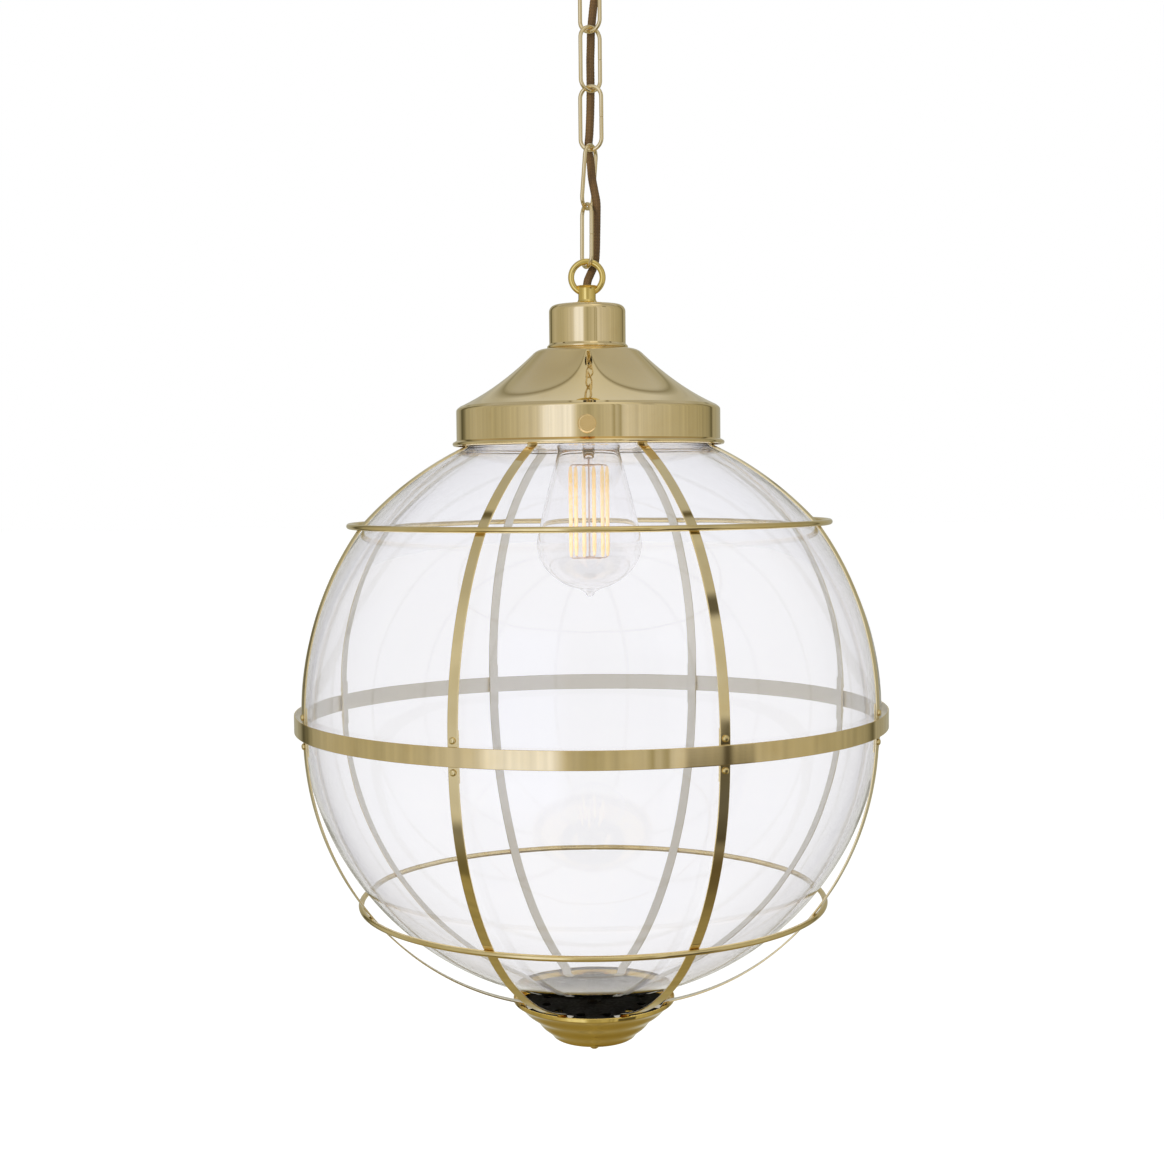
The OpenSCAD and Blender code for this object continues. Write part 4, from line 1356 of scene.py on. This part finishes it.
def build_world():
    world = bpy.data.worlds.new("studio")
    bpy.context.scene.world = world
    t = Tree(world, "ShaderNodeOutputWorld")
    direction = t.add("ShaderNodeTexCoord").outputs["Generated"]
    x, y, z = t.add("ShaderNodeSeparateXYZ", {0: direction}).outputs
    azimuth = t.math("ARCTAN2", x, t.math("MULTIPLY", y, -1.0))
    factor = t.math("ADD", t.math("MULTIPLY", azimuth, 1 / (2 * PI)), 0.5)
    sides = azimuth_ramp(t, factor, [(a, warmed(value)) for a, value in SIDE_LIGHT])
    overhead = azimuth_ramp(t, factor, OVERHEAD_LIGHT)
    below = azimuth_ramp(t, factor, LOW_LIGHT)
    elevation = t.math("ARCSINE", z)

    def patch(across, updown, soft_across=1.5, soft_updown=2.0):
        """1 inside a range of azimuth and elevation."""
        inside = window(t, azimuth, *across, soft_across)
        return t.math("MULTIPLY", inside, window(t, elevation, *updown, soft_updown))

    high = t.ramp(elevation, span=radians(30, 42))
    low = t.ramp(elevation, span=radians(-46, -24), to=(1.0, 0.0))
    colour = t.mix(high, sides, overhead)
    zenith = t.ramp(elevation, span=radians(68, 86), to=(0.0, 0.12))
    colour = t.mix(zenith, colour, (0.30, 0.27, 0.20, 1))
    colour = t.mix(low, colour, below)
    for across, updown, strength in FLAGS:
        amount = t.math("MULTIPLY", patch(across, updown), strength)
        colour = t.mix(amount, colour, (0.05, 0.042, 0.025, 1))
    # bright patch high on the +X side of the front
    amount = t.math("MULTIPLY", patch((26, 74), (56, 90), 4, 4), 0.85)
    colour = t.mix(amount, colour, (1.05, 1.03, 0.98, 1))
    # fine uneven streaks, as a real room gives, fading out overhead
    stretched = {0: t.math("MULTIPLY", azimuth, 9.0), 1: t.math("MULTIPLY", elevation, 0.6)}
    vector = t.add("ShaderNodeCombineXYZ", stretched).outputs[0]
    fade = t.ramp(elevation, span=radians(20, 32), to=(1.0, 0.0))
    noise = t.noise(vector, scale=1.6, detail=4.0, rough=0.6)
    streak = t.ramp(noise, span=(0.32, 0.68), to=(-0.14, 0.12), kind="LINEAR")
    streak = t.math("ADD", t.math("MULTIPLY", streak, fade), 1.0)
    gain = t.add("ShaderNodeCombineColor", {0: streak, 1: streak, 2: streak}).outputs[0]
    colour = t.mix(1.0, colour, gain, "MULTIPLY")
    # the camera sees plain white, directly and through glass
    rays = t.add("ShaderNodeLightPath").outputs
    seen = t.math("MAXIMUM", rays["Is Camera Ray"], rays["Is Transmission Ray"])
    colour = t.mix(seen, colour, (1.0, 1.0, 1.0, 1))
    t.finish(t.add("ShaderNodeBackground", {"Color": colour, "Strength": 1.0}))


def soft_light(name, at, target, size, power):
    """Square area light, not seen directly or in reflections."""
    light = bpy.data.lights.new(name, "AREA")
    light.shape = "RECTANGLE"
    light.size = light.size_y = size
    light.energy = power
    light.spread = math.radians(150)
    ob = bpy.data.objects.new(name, light)
    ob.location = at
    ob.rotation_mode = "QUATERNION"
    ob.rotation_quaternion = (Vector(target) - Vector(at)).to_track_quat("-Z", "Y")
    bpy.context.scene.collection.objects.link(ob)
    ob.visible_glossy = False
    ob.visible_camera = False
    ob.visible_transmission = False


def build_lights(target):
    soft_light("key", at=(-1.5, -1.7, 0.55), target=target, size=1.2, power=26)
    soft_light("floor_wash", at=(0.0, 0.6, 1.9), target=(0, 0.4, FLOOR_Z), size=3.0, power=4)


def set_render():
    scene = bpy.context.scene
    scene.view_settings.view_transform = "Standard"
    scene.view_settings.look = "None"
    scene.view_settings.exposure = 0.0
    scene.view_settings.gamma = 1.0
    cycles = scene.cycles
    cycles.max_bounces = 20
    cycles.transmission_bounces = 20
    cycles.glossy_bounces = 6
    cycles.diffuse_bounces = 3
    cycles.transparent_max_bounces = 16
    cycles.caustics_reflective = False
    cycles.caustics_refractive = False
    cycles.blur_glossy = 0.1
    cycles.sample_clamp_indirect = 6.0


def build_camera(target):
    """Camera in front of the target, looking along +Y and slightly down."""
    pan, pitch, roll = -0.0045, 0.057116, -0.0102  # radians
    orbit = 0.0085  # turn of the whole camera about the target
    offset = Vector((0, -1.066922, 0.142127))  # from the target
    level = math.cos(pitch)
    forward = Vector((math.sin(pan) * level, math.cos(pan) * level, -math.sin(pitch)))
    right = Vector((math.cos(pan), -math.sin(pan), 0))
    up = right.cross(forward)
    rolled_right = math.cos(roll) * right + math.sin(roll) * up
    rolled_up = -math.sin(roll) * right + math.cos(roll) * up
    pose = Matrix((rolled_right, rolled_up, -forward)).transposed().to_4x4()
    pose.translation = offset
    camera = bpy.data.cameras.new("camera")
    camera.sensor_fit = "HORIZONTAL"
    camera.sensor_width = 36.0
    camera.lens = 54.272
    camera.clip_start = 0.05
    camera.clip_end = 100
    ob = bpy.data.objects.new("camera", camera)
    bpy.context.scene.collection.objects.link(ob)
    ob.matrix_world = Matrix.Translation(target) @ Matrix.Rotation(orbit, 4, "Z") @ pose
    bpy.context.scene.camera = ob


def hide_from_reflections():
    """Keeps the rose and the flex out of the polished brass."""
    rose = ("rose_spun", "ceiling_plate", "rose_nut", "rose_nipple")
    for ob in bpy.context.scene.objects:
        if ob.name in rose or ob.name.startswith("flex_braid"):
            ob.visible_glossy = False


build_canopy()
build_cap()
build_thumb_screws()
build_bushes()
build_loops()
build_chain()
build_flex()
build_rose()
build_globe()
build_ribs()
build_middle_band()
build_rings()
build_hoop()
build_rivets()
build_finial_cup()
build_bulb()
build_stem()
build_filaments()
build_filament_frame()
finish_frame_nodes()

lantern_centre = Vector(CENTRE.tolist()) * 0.001
build_floor()
build_world()
build_lights(lantern_centre)
set_render()
build_camera(lantern_centre)
hide_from_reflections()

bpy.context.view_layer.update()
